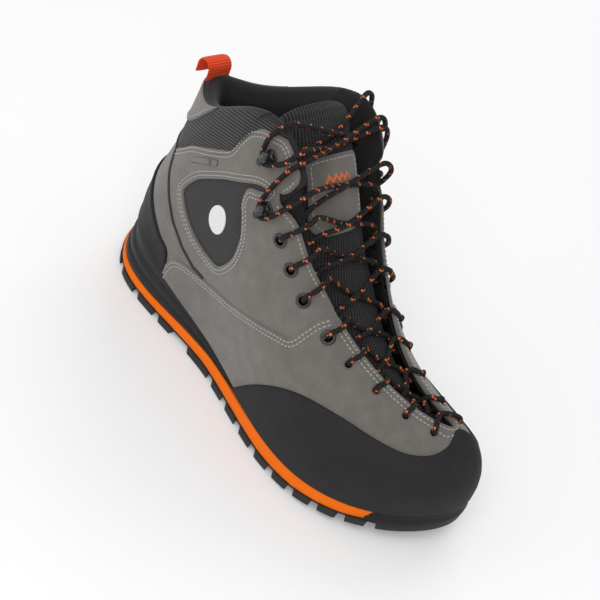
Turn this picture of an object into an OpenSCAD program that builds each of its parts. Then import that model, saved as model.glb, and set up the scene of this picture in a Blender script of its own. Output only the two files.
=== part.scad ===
// Hiking boot for the right foot: lugged sole, suede and mesh upper, padded tongue, hooks, eyelets and lace.
// The origin is on the ground, halfway along the sole and near its middle line.
// +X runs from heel to toe, +Y to the wearer's left (the inner side), +Z up.

/* [Size] */
// Length of the sole
boot_len = 300; // [280:5:320]
// Stretch of the width, 1 is a standard fitting
width_fit = 1; // [0.95:0.01:1.05]
// Stretch of the height, 1 is a 19 cm shaft
height_fit = 1; // [0.95:0.01:1.05]

/* [Upper] */
// Thickness of the suede
suede_t = 1.5; // [1.2:0.1:1.8]
// Thickness of the rubber rand and heel cap outside the suede
rand_t = 1.6; // [1.2:0.1:2]
// Thickness of the textile lining
lining_t = 1.2; // [1:0.1:1.4]
// Thickness of the collar padding at its fullest
collar_pad = 7; // [5:0.5:8]

/* [Tongue] */
// Thickness of the tongue padding
tongue_pad = 6; // [4:0.5:7]
// How far the tongue lies below the edge of the throat
tongue_drop = 7.8; // [7.8:0.2:9]

/* [Sole] */
// Depth of the lugs
lug_h = 4.5; // [3:0.5:5]
// Height of the rubber between the lugs and the orange foam
rubber_t = 1.5; // [1:0.5:2]
// Width of the grooves between the lugs
groove_w = 5; // [4:0.5:7]
// How far the orange foam stands out past the upper
foam_out = 2; // [1:0.5:3]

/* [Lacing] */
// Diameter of the lace
lace_d = 3.2; // [3:0.2:4]
// Inner diameter of the ring eyelets
eyelet_bore = 5; // [4.6:0.2:5.4]
// Outer diameter of the ring eyelets
eyelet_d = 9; // [8:0.5:10]

/* [Hidden] */
$fn = 32;

// The upper is one surface through four closed rows of 20 stations. Station 0 is the toe, 1 to 9 run back
// along the outer side, 10 is the heel, and 19 to 11 (written -1 to -9) are the same stations inside.
// X is measured from the back of the heel on a sole 300 long.
stations = 20;
// Row 0: where the upper meets the sole
feather_row = [
  [296, 25, 30], [288, -3, 27], [262, -31, 21], [228, -46, 18], [192, -46, 17], [160, -41, 18], [128, -36, 21],
  [98, -36, 25], [66, -37, 31], [30, -32, 36], [6, 0, 38], [24, 31, 36], [62, 35, 31], [96, 34, 26],
  [126, 36, 22], [158, 41, 19], [190, 47, 18], [224, 52, 19], [258, 53, 22], [284, 44, 27]
];
// Row 1: steers the lower wall
belly_row = [
  [300, 25, 52], [293, -8, 50], [267, -38, 46], [232, -54, 48], [194, -54, 52], [160, -48, 58], [128, -44, 68],
  [98, -42, 78], [62, -42, 78], [26, -34, 74], [0, 0, 72], [22, 35, 72], [60, 41, 78], [96, 42, 78],
  [126, 44, 66], [158, 50, 54], [192, 56, 46], [226, 60, 42], [262, 58, 44], [288, 46, 48]
];
// Row 2: steers the upper wall
waist_row = [
  [284, 20, 80], [272, -12, 78], [250, -32, 80], [218, -44, 86], [188, -48, 98], [158, -50, 110], [130, -52, 126],
  [106, -48, 140], [74, -40, 138], [44, -30, 112], [26, 0, 112], [42, 30, 112], [74, 40, 138], [106, 46, 140],
  [132, 46, 124], [160, 42, 104], [190, 38, 86], [222, 34, 74], [252, 32, 74], [276, 30, 78]
];
// Row 3: the rim of the opening
rim_row = [
  [273, 14, 80], [259, -1, 84], [236, -12, 90], [210, -21, 101], [184, -29, 118], [166, -35, 138], [150, -40, 165],
  [124, -41, 187], [84, -38, 177], [46, -25, 145], [16, 0, 147], [36, 24, 144], [76, 37, 172], [112, 37, 187],
  [144, 31, 165], [166, 25, 134], [188, 20, 114], [212, 13, 99], [238, 10, 89], [260, 12, 83]
];
row_len = 300;
stretch = [boot_len / row_len, width_fit, height_fit];
heel_x = -boot_len / 2;

function along(row, s) =
  let (u = s + stations, i = floor(u), t = u - i, p = [for (k = [-1:2]) knot(row, i + k)])
  ((1 - t)^3 * p[0] + (3 * t^3 - 6 * t^2 + 4) * p[1] + (-3 * t^3 + 3 * t^2 + 3 * t + 1) * p[2] + t^3 * p[3]) / 6;
// Control point that makes the smooth closed curve pass by the station itself
function knot(row, i) = (8 * station(row, i) - station(row, i - 1) - station(row, i + 1)) / 6;
function station(row, i) = let (p = row[(i + stations) % stations])
  [heel_x + p.x * stretch.x, p.y * stretch.y, p.z * stretch.z];
// Point of the upper at station s and height h, from 0 at the sole to 1 at the rim
function wall(s, h) =
  (1 - h)^3 * along(feather_row, s) + 3 * h * (1 - h)^2 * along(belly_row, s)
  + 3 * h^2 * (1 - h) * along(waist_row, s) + h^3 * along(rim_row, s);
function unit(v) = v / norm(v);
function outward(s, h) =
  let (e = 0.01, low = min(max(h - e, 0), 1 - 2 * e))
  unit(cross(wall(s, low + 2 * e) - wall(s, low), wall(s + e, h) - wall(s - e, h)));
// The same point moved out by d
function skin(s, h, d) = wall(s, h) + d * outward(s, h);

// Depths of the layers under the outer face of the suede
suede_in = -suede_t;
stiff_out = suede_in - 0.4;
stiff_in = stiff_out - 1;
lining_out = stiff_in - 0.1;
lining_in = lining_out - lining_t;
overlay_gap = 0.3;
seam_gap = 0.01;

// Distance from the toe in stations, 0 to 10, on either side
function from_toe(s) = min(abs(s), stations - abs(s));
// Edges of the panels: height h against the distance from the toe
vamp_edge = function(s) lookup(from_toe(s), [
  [3.5, 1], [3.7, 0.95], [3.9, 0.84], [4.1, 0.65], [4.4, 0.58], [5.2, 0.44], [6, 0.32], [6.9, 0.22],
  [7.6, 0.16], [8, 0.06]
]);
seam_edge = function(s) lookup(from_toe(s), [
  [6, 0.3], [6.7, 0.23], [7.2, 0.21], [7.6, 0.23], [8, 0.29], [8.4, 0.38], [8.8, 0.51], [9.1, 0.63], [10, 0.65]
]);
cap_edge = function(s) lookup(from_toe(s), [[8, 0.12], [8.5, 0.21], [9.1, 0.33], [9.5, 0.37], [10, 0.38]]);
cuff_edge = function(s) lookup(from_toe(s), [
  [7.1, 0.98], [7.4, 0.94], [7.6, 0.88], [7.7, 0.77], [8.2, 0.73], [8.6, 0.72], [9.1, 0.65], [10, 0.66]
]);
throat_edge = function(s) lookup(from_toe(s), [[3.5, 0.99], [5.4, 0.97], [6.1, 0.97], [7.1, 0.97]]);
tab_edge = function(s) lookup(from_toe(s), [[8.6, 0.97], [9.2, 0.82], [9.6, 0.77], [10, 0.76]]);
rand_edge = function(s) lookup(from_toe(s), [
  [0, 0.92], [0.3, 0.86], [0.6, 0.71], [0.9, 0.63], [1.4, 0.6], [2.6, 0.6], [3.3, 0.52], [3.9, 0.4],
  [4.5, 0.22], [5, 0.04]
]);
window_low = function(s) lookup(from_toe(s), [
  [6.3, 0.5], [6.5, 0.38], [6.7, 0.34], [7, 0.32], [7.5, 0.33], [7.9, 0.38], [8.1, 0.44]
]);
window_high = function(s) lookup(from_toe(s), [
  [6.3, 0.53], [6.5, 0.6], [6.9, 0.69], [7.1, 0.7], [7.6, 0.61], [8, 0.53], [8.1, 0.48]
]);
slit_low = function(s) lookup(from_toe(s), [[6.2, 0.84], [6.6, 0.77], [7, 0.67]]);
slit_high = function(s) lookup(from_toe(s), [[6.2, 0.86], [6.6, 0.81], [7, 0.71]]);
// Thickness of the collar padding, which starts at this distance from the toe
pad_from = 6.8;
function pad(s, h) =
  collar_pad * lookup(from_toe(s), [[pad_from, 0], [pad_from + 0.8, 1]])
  * lookup(h, [[0.55, 0], [0.72, 1], [0.9, 1], [1, 0.7]]);
// Columns of the panels lie on these stations, so that neighbours share their seams
column_step = 0.2;
function columns(from, to) =
  [for (i = [round(from / column_step) : round(to / column_step)]) i * column_step];
// The hidden layers share coarser columns and these rows, so that they stay parallel
layer_step = 0.4;
layer_rows = [0.01, 0.15, 0.3, 0.42, 0.56, 0.68, 0.78, 0.88, 0.97];

// ---- Solids from grids of points ----

// Closed solid between two grids of cols x rows points; a loop joins its last column to its first
module shell(outer, inner, cols, rows, loop = false) {
  back = cols * rows;
  last = loop ? cols - 1 : cols - 2;
  function at(i, j) = (i % cols) * rows + j;
  faces = [
    for (i = [0:last]) for (j = [0:rows - 2]) each [
      [at(i, j), at(i + 1, j), at(i + 1, j + 1)],
      [at(i, j), at(i + 1, j + 1), at(i, j + 1)],
      [back + at(i + 1, j + 1), back + at(i + 1, j), back + at(i, j)],
      [back + at(i, j + 1), back + at(i + 1, j + 1), back + at(i, j)]
    ],
    for (i = [0:last]) each [
      [at(i + 1, 0), at(i, 0), back + at(i, 0)],
      [at(i + 1, 0), back + at(i, 0), back + at(i + 1, 0)],
      [at(i, rows - 1), at(i + 1, rows - 1), back + at(i + 1, rows - 1)],
      [at(i, rows - 1), back + at(i + 1, rows - 1), back + at(i, rows - 1)]
    ],
    if (!loop) for (j = [0:rows - 2]) each [
      [at(0, j), at(0, j + 1), back + at(0, j + 1)],
      [at(0, j), back + at(0, j + 1), back + at(0, j)],
      [at(cols - 1, j + 1), at(cols - 1, j), back + at(cols - 1, j)],
      [at(cols - 1, j + 1), back + at(cols - 1, j), back + at(cols - 1, j + 1)]
    ]
  ];
  polyhedron(points = concat(outer, inner), faces = faces);
}

// Panel of the upper: columns of stations, from low(s) to high(s), between two depths
module panel(columns, low, high, outer, inner, steps = 6, loop = false) {
  function grid(depth) = [
    for (s = columns) for (j = [0:steps])
      let (h = low(s) + (high(s) - low(s)) * j / steps) skin(s, h, depth(s, h))
  ];
  shell(grid(outer), grid(inner), len(columns), steps + 1, loop);
}

// Hidden layer of the upper between two depths, over the rows from number low to number high
module layer(from, to, low, high, outer, inner, loop = false) {
  list = [for (i = [round(from / layer_step) : round(to / layer_step) - (loop ? 1 : 0)]) i * layer_step];
  rows = [for (j = [low:high]) layer_rows[j]];
  function grid(depth) = [for (s = list) for (h = rows) skin(s, h, depth(s, h))];
  shell(grid(outer), grid(inner), len(list), len(rows), loop);
}

// Stack of rings, closed with a lid at both ends. A ring starts at the toe, or is an arc round the heel
module loft(rings, arc = false) {
  n = len(rings[0]);
  k = len(rings);
  function pair(i) = arc ? n - 1 - i : (n - i) % n;
  lid = [
    for (i = [0:floor(n / 2) - 1]) each [
      if (pair(i + 1) != i + 1) [i, i + 1, pair(i + 1)],
      if (pair(i) != i) [i, pair(i + 1), pair(i)]
    ]
  ];
  faces = [
    for (f = lid) [for (v = f) v + (k - 1) * n],
    for (f = lid) [f[2], f[1], f[0]],
    for (r = [0:k - 2]) for (i = [0:n - 1]) let (j = (i + 1) % n, a = r * n, b = (r + 1) * n) each [
      [a + i, a + j, b + j],
      [a + i, b + j, b + i]
    ]
  ];
  polyhedron(points = [for (r = rings) each r], faces = faces);
}

// Joins or cuts point-grid solids as one mesh; the size stays as it is
module as_mesh() {
  resize([0, 0, 0]) children();
}

// Round rod along a line of points
module rod(points, d, sides) {
  n = len(points);
  t = [for (i = [0:n - 1]) unit(points[min(i + 1, n - 1)] - points[max(i - 1, 0)])];
  side_on = [
    for (i = 0, u = square_to([0, 1, 0], t[0]); i < n; u = square_to(u, t[min(i + 1, n - 1)]), i = i + 1) u
  ];
  rings = [
    for (i = [0:n - 1]) for (k = [0:sides - 1])
      points[i] + d / 2 * (side_on[i] * cos(360 * k / sides) + cross(t[i], side_on[i]) * sin(360 * k / sides))
  ];
  faces = [
    [for (k = [0:sides - 1]) k],
    [for (k = [sides - 1:-1:0]) (n - 1) * sides + k],
    for (i = [0:n - 2]) for (k = [0:sides - 1]) let (a = i * sides, b = a + sides, m = (k + 1) % sides) each [
      [a + k, b + k, b + m],
      [a + k, b + m, a + m]
    ]
  ];
  polyhedron(points = rings, faces = faces);
}
function square_to(u, t) = unit(u - (u * t) * t);

// Puts children at a point of the upper with +Z pointing out of it
module on_skin(s, h, d = 0) {
  n = outward(s, h);
  translate(skin(s, h, d)) rotate([0, acos(n.z), atan2(n.y, n.x)]) children();
}

// ---- Sole ----

sole_steps = 48;
heel_flare = 3;
bumper_reach = 1.7;
// Distance from the back of the heel on the unstretched sole
function sole_x(s) = (along(feather_row, s).x - heel_x) / stretch.x;
function tread_z(x) = lookup(x, [[0, 8], [12, 3], [25, 0], [200, 0], [230, 2], [255, 5], [280, 10], [300, 16]]);
// Height taken by the stabiliser between the foam and the upper
function stabiliser_h(x) =
  lookup(x, [[0, 26], [30, 24], [66, 19], [98, 12], [128, 7], [160, 3], [175, 1.6], [190, 0.4]]);
function side_on_sole(s) =
  let (t = along(feather_row, s + 0.01) - along(feather_row, s - 0.01)) unit([-t.y, t.x, 0]);
function sole_point(s, out, z) = let (p = along(feather_row, s) + out * side_on_sole(s)) [p.x, p.y, z];
upper_z = function(s) along(feather_row, s).z;
rubber_z = function(s) tread_z(sole_x(s)) + lug_h + rubber_t;
foam_z = function(s) upper_z(s) - stabiliser_h(sole_x(s));
flare = function(s) heel_flare * lookup(from_toe(s), [[6, 0], [8.5, 0.6], [10, 1]]);
foam_edge = function(s) foam_out * lookup(from_toe(s), [[1, 0], [2, 1]]) + flare(s);
rubber_edge = function(s) foam_out + 1 + flare(s);
function around(from, to, n) = [for (i = [0:n]) from + (to - from) * i / n];
function full_ring() = [for (i = [0:sole_steps - 1]) i * stations / sole_steps];
function sole_ring(list, out, z) = [for (s = list) sole_point(s, out(s), z(s))];

// The lugs reach the foam and stand out past the sheet of rubber that joins them
sheet_in = 1;
module lug_layer() {
  loft([
    sole_ring(full_ring(), function(s) rubber_edge(s) - 0.5, function(s) tread_z(sole_x(s))),
    sole_ring(full_ring(), rubber_edge, function(s) rubber_z(s) - 0.1)
  ]);
}
// Slanted grooves across the tread, and one channel along it on each side
breast_x = 92;
groove_x = [22, 45, 68, 128, 146, 164, 182, 200, 218, 236, 254, 272];
groove_slant = 20;
channel_y = 14;
module tread_grooves() {
  depth = lug_h + 6;
  for (x = groove_x) for (side = [-1, 1])
    translate([heel_x + x * stretch.x, side * channel_y, -2]) rotate([0, 0, side * (90 - groove_slant)])
      translate([0, -groove_w / 2, 0]) cube([60, groove_w, depth + tread_z(x)]);
  for (x = [groove_x[0] : 24 : 272])
    translate([heel_x + x * stretch.x, 0, -2]) rotate([0, 0, 90]) translate([-channel_y, -groove_w / 2, 0])
      cube([2 * channel_y, groove_w * 0.7, depth + tread_z(x)]);
  for (side = [-1, 1]) translate([heel_x + 10, side * channel_y + 3 - groove_w / 2, -2])
    cube([boot_len - 30, groove_w * 0.7, depth + 10]);
  translate([heel_x + breast_x * stretch.x, -60, -2]) cube([20, 120, depth]);
}
module outsole() {
  color([0.13, 0.13, 0.14]) as_mesh() {
    difference() {
      lug_layer();
      tread_grooves();
    }
    loft([
      sole_ring(full_ring(), function(s) rubber_edge(s) - sheet_in, function(s) tread_z(sole_x(s)) + lug_h),
      sole_ring(full_ring(), function(s) rubber_edge(s) - sheet_in, rubber_z)
    ]);
    toe_bumper();
  }
}
module toe_bumper() {
  list = around(-bumper_reach, bumper_reach, 16);
  rise = 4;
  function wall_at(out) = [
    for (s = list) for (j = [0:rise])
      sole_point(s, out(s), rubber_z(s) - 1 + (upper_z(s) - 0.2 - rubber_z(s) + 1) * j / rise)
  ];
  shell(wall_at(function(s) rubber_edge(s) + 0.4), wall_at(function(s) foam_edge(s) + 0.2), len(list), rise + 1);
}
module midsole() {
  color([0.95, 0.42, 0.05]) loft([
    sole_ring(full_ring(), foam_edge, function(s) rubber_z(s) + 0.05),
    sole_ring(full_ring(), function(s) foam_edge(s) + 0.1, function(s) (rubber_z(s) + foam_z(s)) / 2),
    sole_ring(full_ring(), foam_edge, foam_z)
  ]);
}
// First and last column of the stabiliser, counted on the sole's ring
stabiliser_columns = [11, 37];
module stabiliser() {
  list = [for (i = [stabiliser_columns[0] : stabiliser_columns[1]]) i * stations / sole_steps];
  // Pairs of outward reach and share of the height: two ribs with a groove between them, then a hollow
  profile = [[1, 0], [1.2, 0.2], [-0.6, 0.3], [0.6, 0.42], [0.8, 0.58], [-0.8, 0.68], [0, 1]];
  color([0.16, 0.16, 0.18]) loft([
    for (p = profile) sole_ring(list,
      function(s) p[0] + flare(s) * (1 - p[1]),
      function(s) foam_z(s) + 0.05 + (upper_z(s) - foam_z(s) - 0.1) * p[1])
  ], arc = true);
}
board_in = 5.2;
board_z = 2;
board_t = 1.8;
function midline(s) = (along(feather_row, s) + along(feather_row, -s)) / 2;
module shank() {
  width = 16;
  top = [for (s = around(4, 8, 8)) [midline(s).x, midline(s).z + board_z - 0.2]];
  bottom = [for (s = around(8, 4, 8)) [midline(s).x, midline(s).z + 0.2]];
  color("silver") translate([0, width / 2, 0]) rotate([90, 0, 0]) linear_extrude(width)
    polygon(concat(top, bottom));
}
module lasting_board() {
  color([0.75, 0.7, 0.6]) loft([
    sole_ring(full_ring(), function(s) -board_in, function(s) upper_z(s) + board_z),
    sole_ring(full_ring(), function(s) -board_in, function(s) upper_z(s) + board_z + board_t)
  ]);
}
footbed_z = board_z + board_t + 0.4;
footbed_t = 4;
footbed_in = board_in + 1.2;
module footbed() {
  color([0.22, 0.22, 0.24]) loft([
    sole_ring(full_ring(), function(s) -footbed_in - 1.5, function(s) upper_z(s) + footbed_z),
    sole_ring(full_ring(), function(s) -footbed_in, function(s) upper_z(s) + footbed_z + footbed_t * 0.6),
    sole_ring(full_ring(), function(s) -footbed_in - 1.2, function(s) upper_z(s) + footbed_z + footbed_t)
  ]);
}
module heel_cap() {
  color([0.1, 0.1, 0.11]) panel(columns(8, stations - 8),
    function(s) 0.005, function(s) cap_edge(s) - seam_gap, flat(rand_t * 0.4), flat(suede_in), 4);
}
module toe_rand() {
  color([0.15, 0.15, 0.16]) panel(columns(-4.8, 4.8),
    function(s) 0.005, rand_edge, flat(rand_t + overlay_gap), flat(overlay_gap), 6);
}

// ---- Upper ----

suede = [0.45, 0.43, 0.42];
mesh = [0.12, 0.12, 0.13];
rubber = [0.1, 0.1, 0.11];
function flat(depth) = function(s, h) depth;

// Posts that hold the lace on each side, from the top: 2 hooks, 4 ring eyelets, 4 punched holes
hooks = [[6.9, 0.9], [6.25, 0.79]];
ring_posts = [[5.6, 0.82], [5, 0.83], [4.35, 0.83], [3.5, 0.86]];
hole_posts = [[2.9, 0.87], [2.2, 0.89], [1.45, 0.88], [0.8, 0.84]];
function mirrored(p, side) = [side * p[0], p[1]];
module lace_holes(side, more = 0) {
  for (p = ring_posts) on_skin(side * p[0], p[1])
    cylinder(d = eyelet_bore + 1.4 + more, h = 16, center = true, $fn = 12);
  for (p = hole_posts) on_skin(side * p[0], p[1])
    cylinder(d = eyelet_bore + more, h = 16, center = true, $fn = 12);
}

module vamp() {
  color(suede) as_mesh() difference() {
    panel(columns(-7.8, 7.8), function(s) 0.005, vamp_edge, flat(0), flat(suede_in), 6);
    lace_holes(1);
    lace_holes(-1);
  }
}
module window_shape(side, outer, inner) {
  panel(side > 0 ? columns(6.4, 8) : columns(-8, -6.4),
    window_low, window_high, flat(outer), flat(inner), 4);
}
module slit_shape(side, outer, inner) {
  panel(side > 0 ? columns(6.2, 7) : columns(-7, -6.2),
    slit_low, slit_high, flat(outer), flat(inner), 1);
}
module quarter(side) {
  list = side > 0 ? columns(3.6, 9) : columns(-9, -3.6);
  color(suede) as_mesh() difference() {
    panel(list, function(s) max(vamp_edge(s), from_toe(s) > 6 ? seam_edge(s) : 0) + seam_gap,
      function(s) min(throat_edge(s), cuff_edge(s) - seam_gap), flat(0), flat(suede_in), 7);
    lace_holes(side);
    window_shape(side, 5, -5);
    slit_shape(side, 5, -5);
    // Notch between the cuff and the flap below it
    on_skin(side * 6.05, 0.95) cylinder(d = 9, h = 14, center = true, $fn = 12);
  }
}
module lateral_quarter() quarter(1);
module medial_quarter() quarter(-1);
module window(side) {
  color(mesh) as_mesh() {
    window_shape(side, -0.4, suede_in);
    slit_shape(side, -0.4, suede_in);
  }
}
module lateral_window() window(1);
module medial_window() window(-1);

// Plain oval mark on the window: its middle and its half axes in stations and heights
badge_at = [7.1, 0.49];
badge_half = [0.24, 0.06];
module badge(side) {
  rise = function(s) badge_half.y * sqrt(max(1 - ((abs(s) - badge_at.x) / badge_half.x)^2, 0.04));
  color("white") panel(around(side * badge_at.x - badge_half.x, side * badge_at.x + badge_half.x, 12),
    function(s) badge_at.y - rise(s), function(s) badge_at.y + rise(s), flat(0.3), flat(-0.3), 1);
}
module lateral_badge() badge(1);
module medial_badge() badge(-1);
// Debossed blank tag at the ankle
module tag(side) {
  color([0.38, 0.36, 0.35]) panel(around(side * 8 - 0.3, side * 8 + 0.3, 4),
    function(s) 0.675 - 0.05 * from_toe(s) + 0.35, function(s) 0.675 - 0.05 * from_toe(s) + 0.39,
    flat(0.8), flat(overlay_gap), 1);
}
module lateral_tag() tag(1);
module medial_tag() tag(-1);
strip_from = 7.4;
module back_strip() {
  color(suede) panel(columns(strip_from, stations - strip_from),
    function(s) max(from_toe(s) < 8 ? vamp_edge(s) : 0, from_toe(s) >= 8 ? cap_edge(s) : 0) + seam_gap,
    function(s) min(seam_edge(s), cuff_edge(s)) - seam_gap, flat(0), flat(suede_in), 3);
}
module collar_band() {
  color(mesh) panel(columns(7.2, stations - 7.2), cuff_edge, function(s) 1, flat(-0.1), flat(suede_in), 4);
}
module back_tab() {
  color(suede) panel(columns(8.8, stations - 8.8), tab_edge, function(s) 1,
    flat(suede_t), flat(overlay_gap), 4);
}
module toe_puff() {
  color("tan") layer(-2, 2, 0, 5, flat(stiff_out), flat(stiff_in));
}
module heel_counter() {
  color("tan") layer(8, stations - 8, 0, 3, flat(stiff_out), flat(stiff_in));
}
module collar_padding() {
  color([0.08, 0.08, 0.09]) layer(pad_from + 0.4, stations - pad_from - 0.4, 4, 8,
    flat(stiff_out), function(s, h) stiff_in - pad(s, h));
}
module lining() {
  color([0.14, 0.14, 0.15]) as_mesh() difference() {
    layer(0, stations, 0, 8, function(s, h) lining_out - pad(s, h), function(s, h) lining_in - pad(s, h),
      loop = true);
    lace_holes(1, 3);
    lace_holes(-1, 3);
  }
}

// Webbing loop: an upside-down U over the rim, 18 mm wide; lower than 12.2 mm it would reach into the rim
loop_w = 18;
loop_h = 12.4;
loop_t = 1.6;
loop_gap = 9;
rim_clear = 0.6;
function heel_top() = wall(10, 1);
module pull_loop() {
  color([0.85, 0.2, 0.08]) translate(heel_top() + [0, loop_w / 2, rim_clear]) rotate([90, 0, 0])
    linear_extrude(loop_w) difference() {
      loop_side(loop_gap + 2 * loop_t, loop_h);
      translate([0, -0.1]) loop_side(loop_gap, loop_h - loop_t + 0.1);
    }
}
// Outline of the loop from the side: straight legs with a round top
module loop_side(w, h) {
  translate([-w / 2, 0]) square([w, h - w / 2]);
  translate([0, h - w / 2]) circle(d = w);
}

// ---- Tongue ----

// Half the tongue's width, and the middle of the throat, at distance s from the toe
function tongue_half(s) = lookup(s, [[0.9, 9], [2, 14], [3, 20], [4, 26], [5, 26], [6, 23], [6.7, 23.5], [7.2, 27]]);
function throat_mid(s) = (along(rim_row, s) + along(rim_row, -s)) / 2;
arch = 6;
tongue_from = 0.8;
tongue_to = 7.6;
// The tongue follows the throat up to here, then runs on straight by so many millimetres a station
tongue_bend = 6.6;
tongue_rise = 25;
function tongue_mid(s) =
  let (b = throat_mid(tongue_bend))
  s < tongue_bend ? throat_mid(s)
  : b + (s - tongue_bend) * tongue_rise * unit(b - throat_mid(tongue_bend - 0.1));
// Point of the tongue: w from -1 inside to 1 outside, d above its face
function tongue_point(s, w, d) =
  let (
    t = unit(tongue_mid(s + 0.05) - tongue_mid(s - 0.05)),
    inward = unit([-t.z, 0, t.x])
  )
  tongue_mid(s) + [0, -w * tongue_half(s), 0] + (tongue_drop - d + arch * w^2) * inward;
module tongue_sheet(from, to, half_w, top, bottom) {
  list = around(from, to, round((to - from) / layer_step));
  steps = 6;
  function grid(d) = [for (s = list) for (j = [0:steps]) tongue_point(s, half_w * (1 - 2 * j / steps), d)];
  shell(grid(top), grid(bottom), len(list), steps + 1);
}
shell_t = 1.2;
padding_top = -shell_t - 0.3;
padding_bottom = padding_top - tongue_pad;
module tongue_shell() {
  color(mesh) tongue_sheet(tongue_from, tongue_to, 1, 0, -shell_t);
}
module tongue_padding() {
  color([0.2, 0.2, 0.2]) tongue_sheet(tongue_from + layer_step, tongue_to, 0.9, padding_top, padding_bottom);
}
module tongue_lining() {
  color([0.14, 0.14, 0.15]) tongue_sheet(tongue_from + layer_step, tongue_to, 0.97, padding_bottom - 0.3,
    padding_bottom - 1.1);
}
module tongue_patch() {
  color(suede) tongue_sheet(5.2, 6.4, 0.8, 1.3, overlay_gap);
}
// Zigzag of embroidery across the patch
motif_peaks = 4;
module tongue_motif() {
  list = around(-0.4, 0.4, 2 * motif_peaks);
  function band(d) = [
    for (i = [0:2 * motif_peaks]) for (edge = [-1, 1]) tongue_point(6 + 0.1 * (i % 2) + 0.025 * edge, list[i], d)
  ];
  color([0.95, 0.4, 0.1]) shell(band(1.9), band(1.4), len(list), 2);
}

// ---- Hardware ----

flange_t = 0.8;
module eyelet(side, i) {
  p = ring_posts[i];
  color([0.25, 0.25, 0.27]) on_skin(side * p[0], p[1]) rotate_extrude() {
    // Outer flange, barrel through the suede, and inner flange
    translate([eyelet_bore / 2, 0.2]) square([(eyelet_d - eyelet_bore) / 2, flange_t]);
    translate([eyelet_bore / 2, suede_in - 0.8]) square([0.5, suede_t + 1.2]);
    translate([eyelet_bore / 2, suede_in - 0.9]) square([1.4, 0.5]);
  }
}
module eyelet_l1() eyelet(1, 0);
module eyelet_l2() eyelet(1, 1);
module eyelet_l3() eyelet(1, 2);
module eyelet_l4() eyelet(1, 3);
module eyelet_m1() eyelet(-1, 0);
module eyelet_m2() eyelet(-1, 1);
module eyelet_m3() eyelet(-1, 2);
module eyelet_m4() eyelet(-1, 3);

// Hook: riveted plate, neck, and a round head that keeps the lace behind it
hook_plate_d = 10;
hook_neck_d = 4;
hook_head_d = 8;
hook_reach = 7.6;
module hook(side, i) {
  p = hooks[i];
  color([0.12, 0.14, 0.14]) on_skin(side * p[0], p[1], 0.1) {
    cylinder(d = hook_plate_d, h = 1);
    cylinder(d = hook_neck_d, h = hook_reach - 1);
    translate([0, 0, hook_reach - 2]) cylinder(d = hook_head_d, h = 2);
  }
}
module hook_lateral_top() hook(1, 0);
module hook_lateral_low() hook(1, 1);
module hook_medial_top() hook(-1, 0);
module hook_medial_low() hook(-1, 1);

// ---- Lace ----

posts = concat(hooks, ring_posts, hole_posts);
hook_count = 2;
lace_r = lace_d / 2;
// Height of the lower strand's middle above the face of the tongue, and of the upper one where they cross
function lie(s) = lace_r + 0.4 + lookup(s, [[4.6, 0], [4.9, 1.8]]);
crossing = lace_d + 0.5;
// Over the edge of the throat from inside to outside at distance s from the toe
function over_edge(s, side, out = lace_r + 0.8) = [
  skin(side * s, 1.05, -2.5),
  skin(side * s, 1.03, 1),
  skin(side * s, 0.97, out)
];
// In through hole or ring p, and back under the edge
inside = lining_in - lace_r - 0.6;
function through(p, side) = [
  skin(side * p[0], p[1] + 0.03, lace_r + 1.2),
  skin(side * p[0], p[1], suede_in),
  skin(side * p[0], p[1] + 0.03, inside),
  skin(side * (p[0] + 0.1), 1, inside)
];
// How far the lace stands off the upper on its way to a hook
hook_away = 3.8;
// Point beside the neck of hook p, under its head; angle 0 is towards the toe and 90 is up
function beside_neck(p, side, angle) =
  let (
    s = side * p[0],
    e = 0.05,
    up = unit(wall(s, p[1] + e) - wall(s, p[1] - e)),
    to_toe = side * unit(wall(s - e, p[1]) - wall(s + e, p[1]))
  )
  skin(s, p[1], hook_reach / 2 - 0.2)
  + (hook_neck_d / 2 + lace_r + 0.8) * (cos(angle) * to_toe + sin(angle) * up);
function round_hook(p, side) = concat(
  over_edge(p[0] - 0.28, side, hook_away),
  [for (angle = [0, -90, -180]) beside_neck(p, side, angle)],
  reversed(over_edge(p[0] + 0.22, side, hook_away))
);
last_post = len(posts) - 1;
function hold(i, side) = i < hook_count
  ? round_hook(posts[i], side)
  : concat(i < last_post ? over_edge(posts[i][0] - 0.1, side) : [], through(posts[i], side));
// Zigzag up the posts from one side; lift 0 passes under the other strand first, lift 1 over it
function climb(side, lift) = [
  for (i = [last_post:-1:0])
    let (
      now = (last_post - i) % 2 == 0 ? side : -side,
      s = (posts[i][0] + posts[max(i - 1, 0)][0]) / 2
    )
    each concat(
      hold(i, now),
      i > 0 ? [tongue_point(s, 0, lie(s) + ((i + lift) % 2) * crossing)] : []
    )
];
// One strand from the bottom bar, with its end tucked down beside the tongue
function strand(side, lift) =
  let (s = posts[0][0], far = last_post % 2 == 0 ? -side : side)
  concat(climb(side, lift), [
    tongue_point(s - 0.1, 0, lie(s) + lift * crossing),
    tongue_point(s - 0.25, far * 0.8, lace_r + 1),
    tongue_point(s - 0.3, far * 1.17, 1),
    tongue_point(s - 0.35, far * 1.18, -7)
  ]);
function reversed(list) = [for (i = [len(list) - 1:-1:0]) list[i]];
bottom_bar = (wall(posts[last_post][0], 1) + wall(-posts[last_post][0], 1)) / 2;
lace_line = concat(reversed(strand(1, 0)), [bottom_bar + [0, 0, lace_r + 1]], strand(-1, 1));
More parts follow.
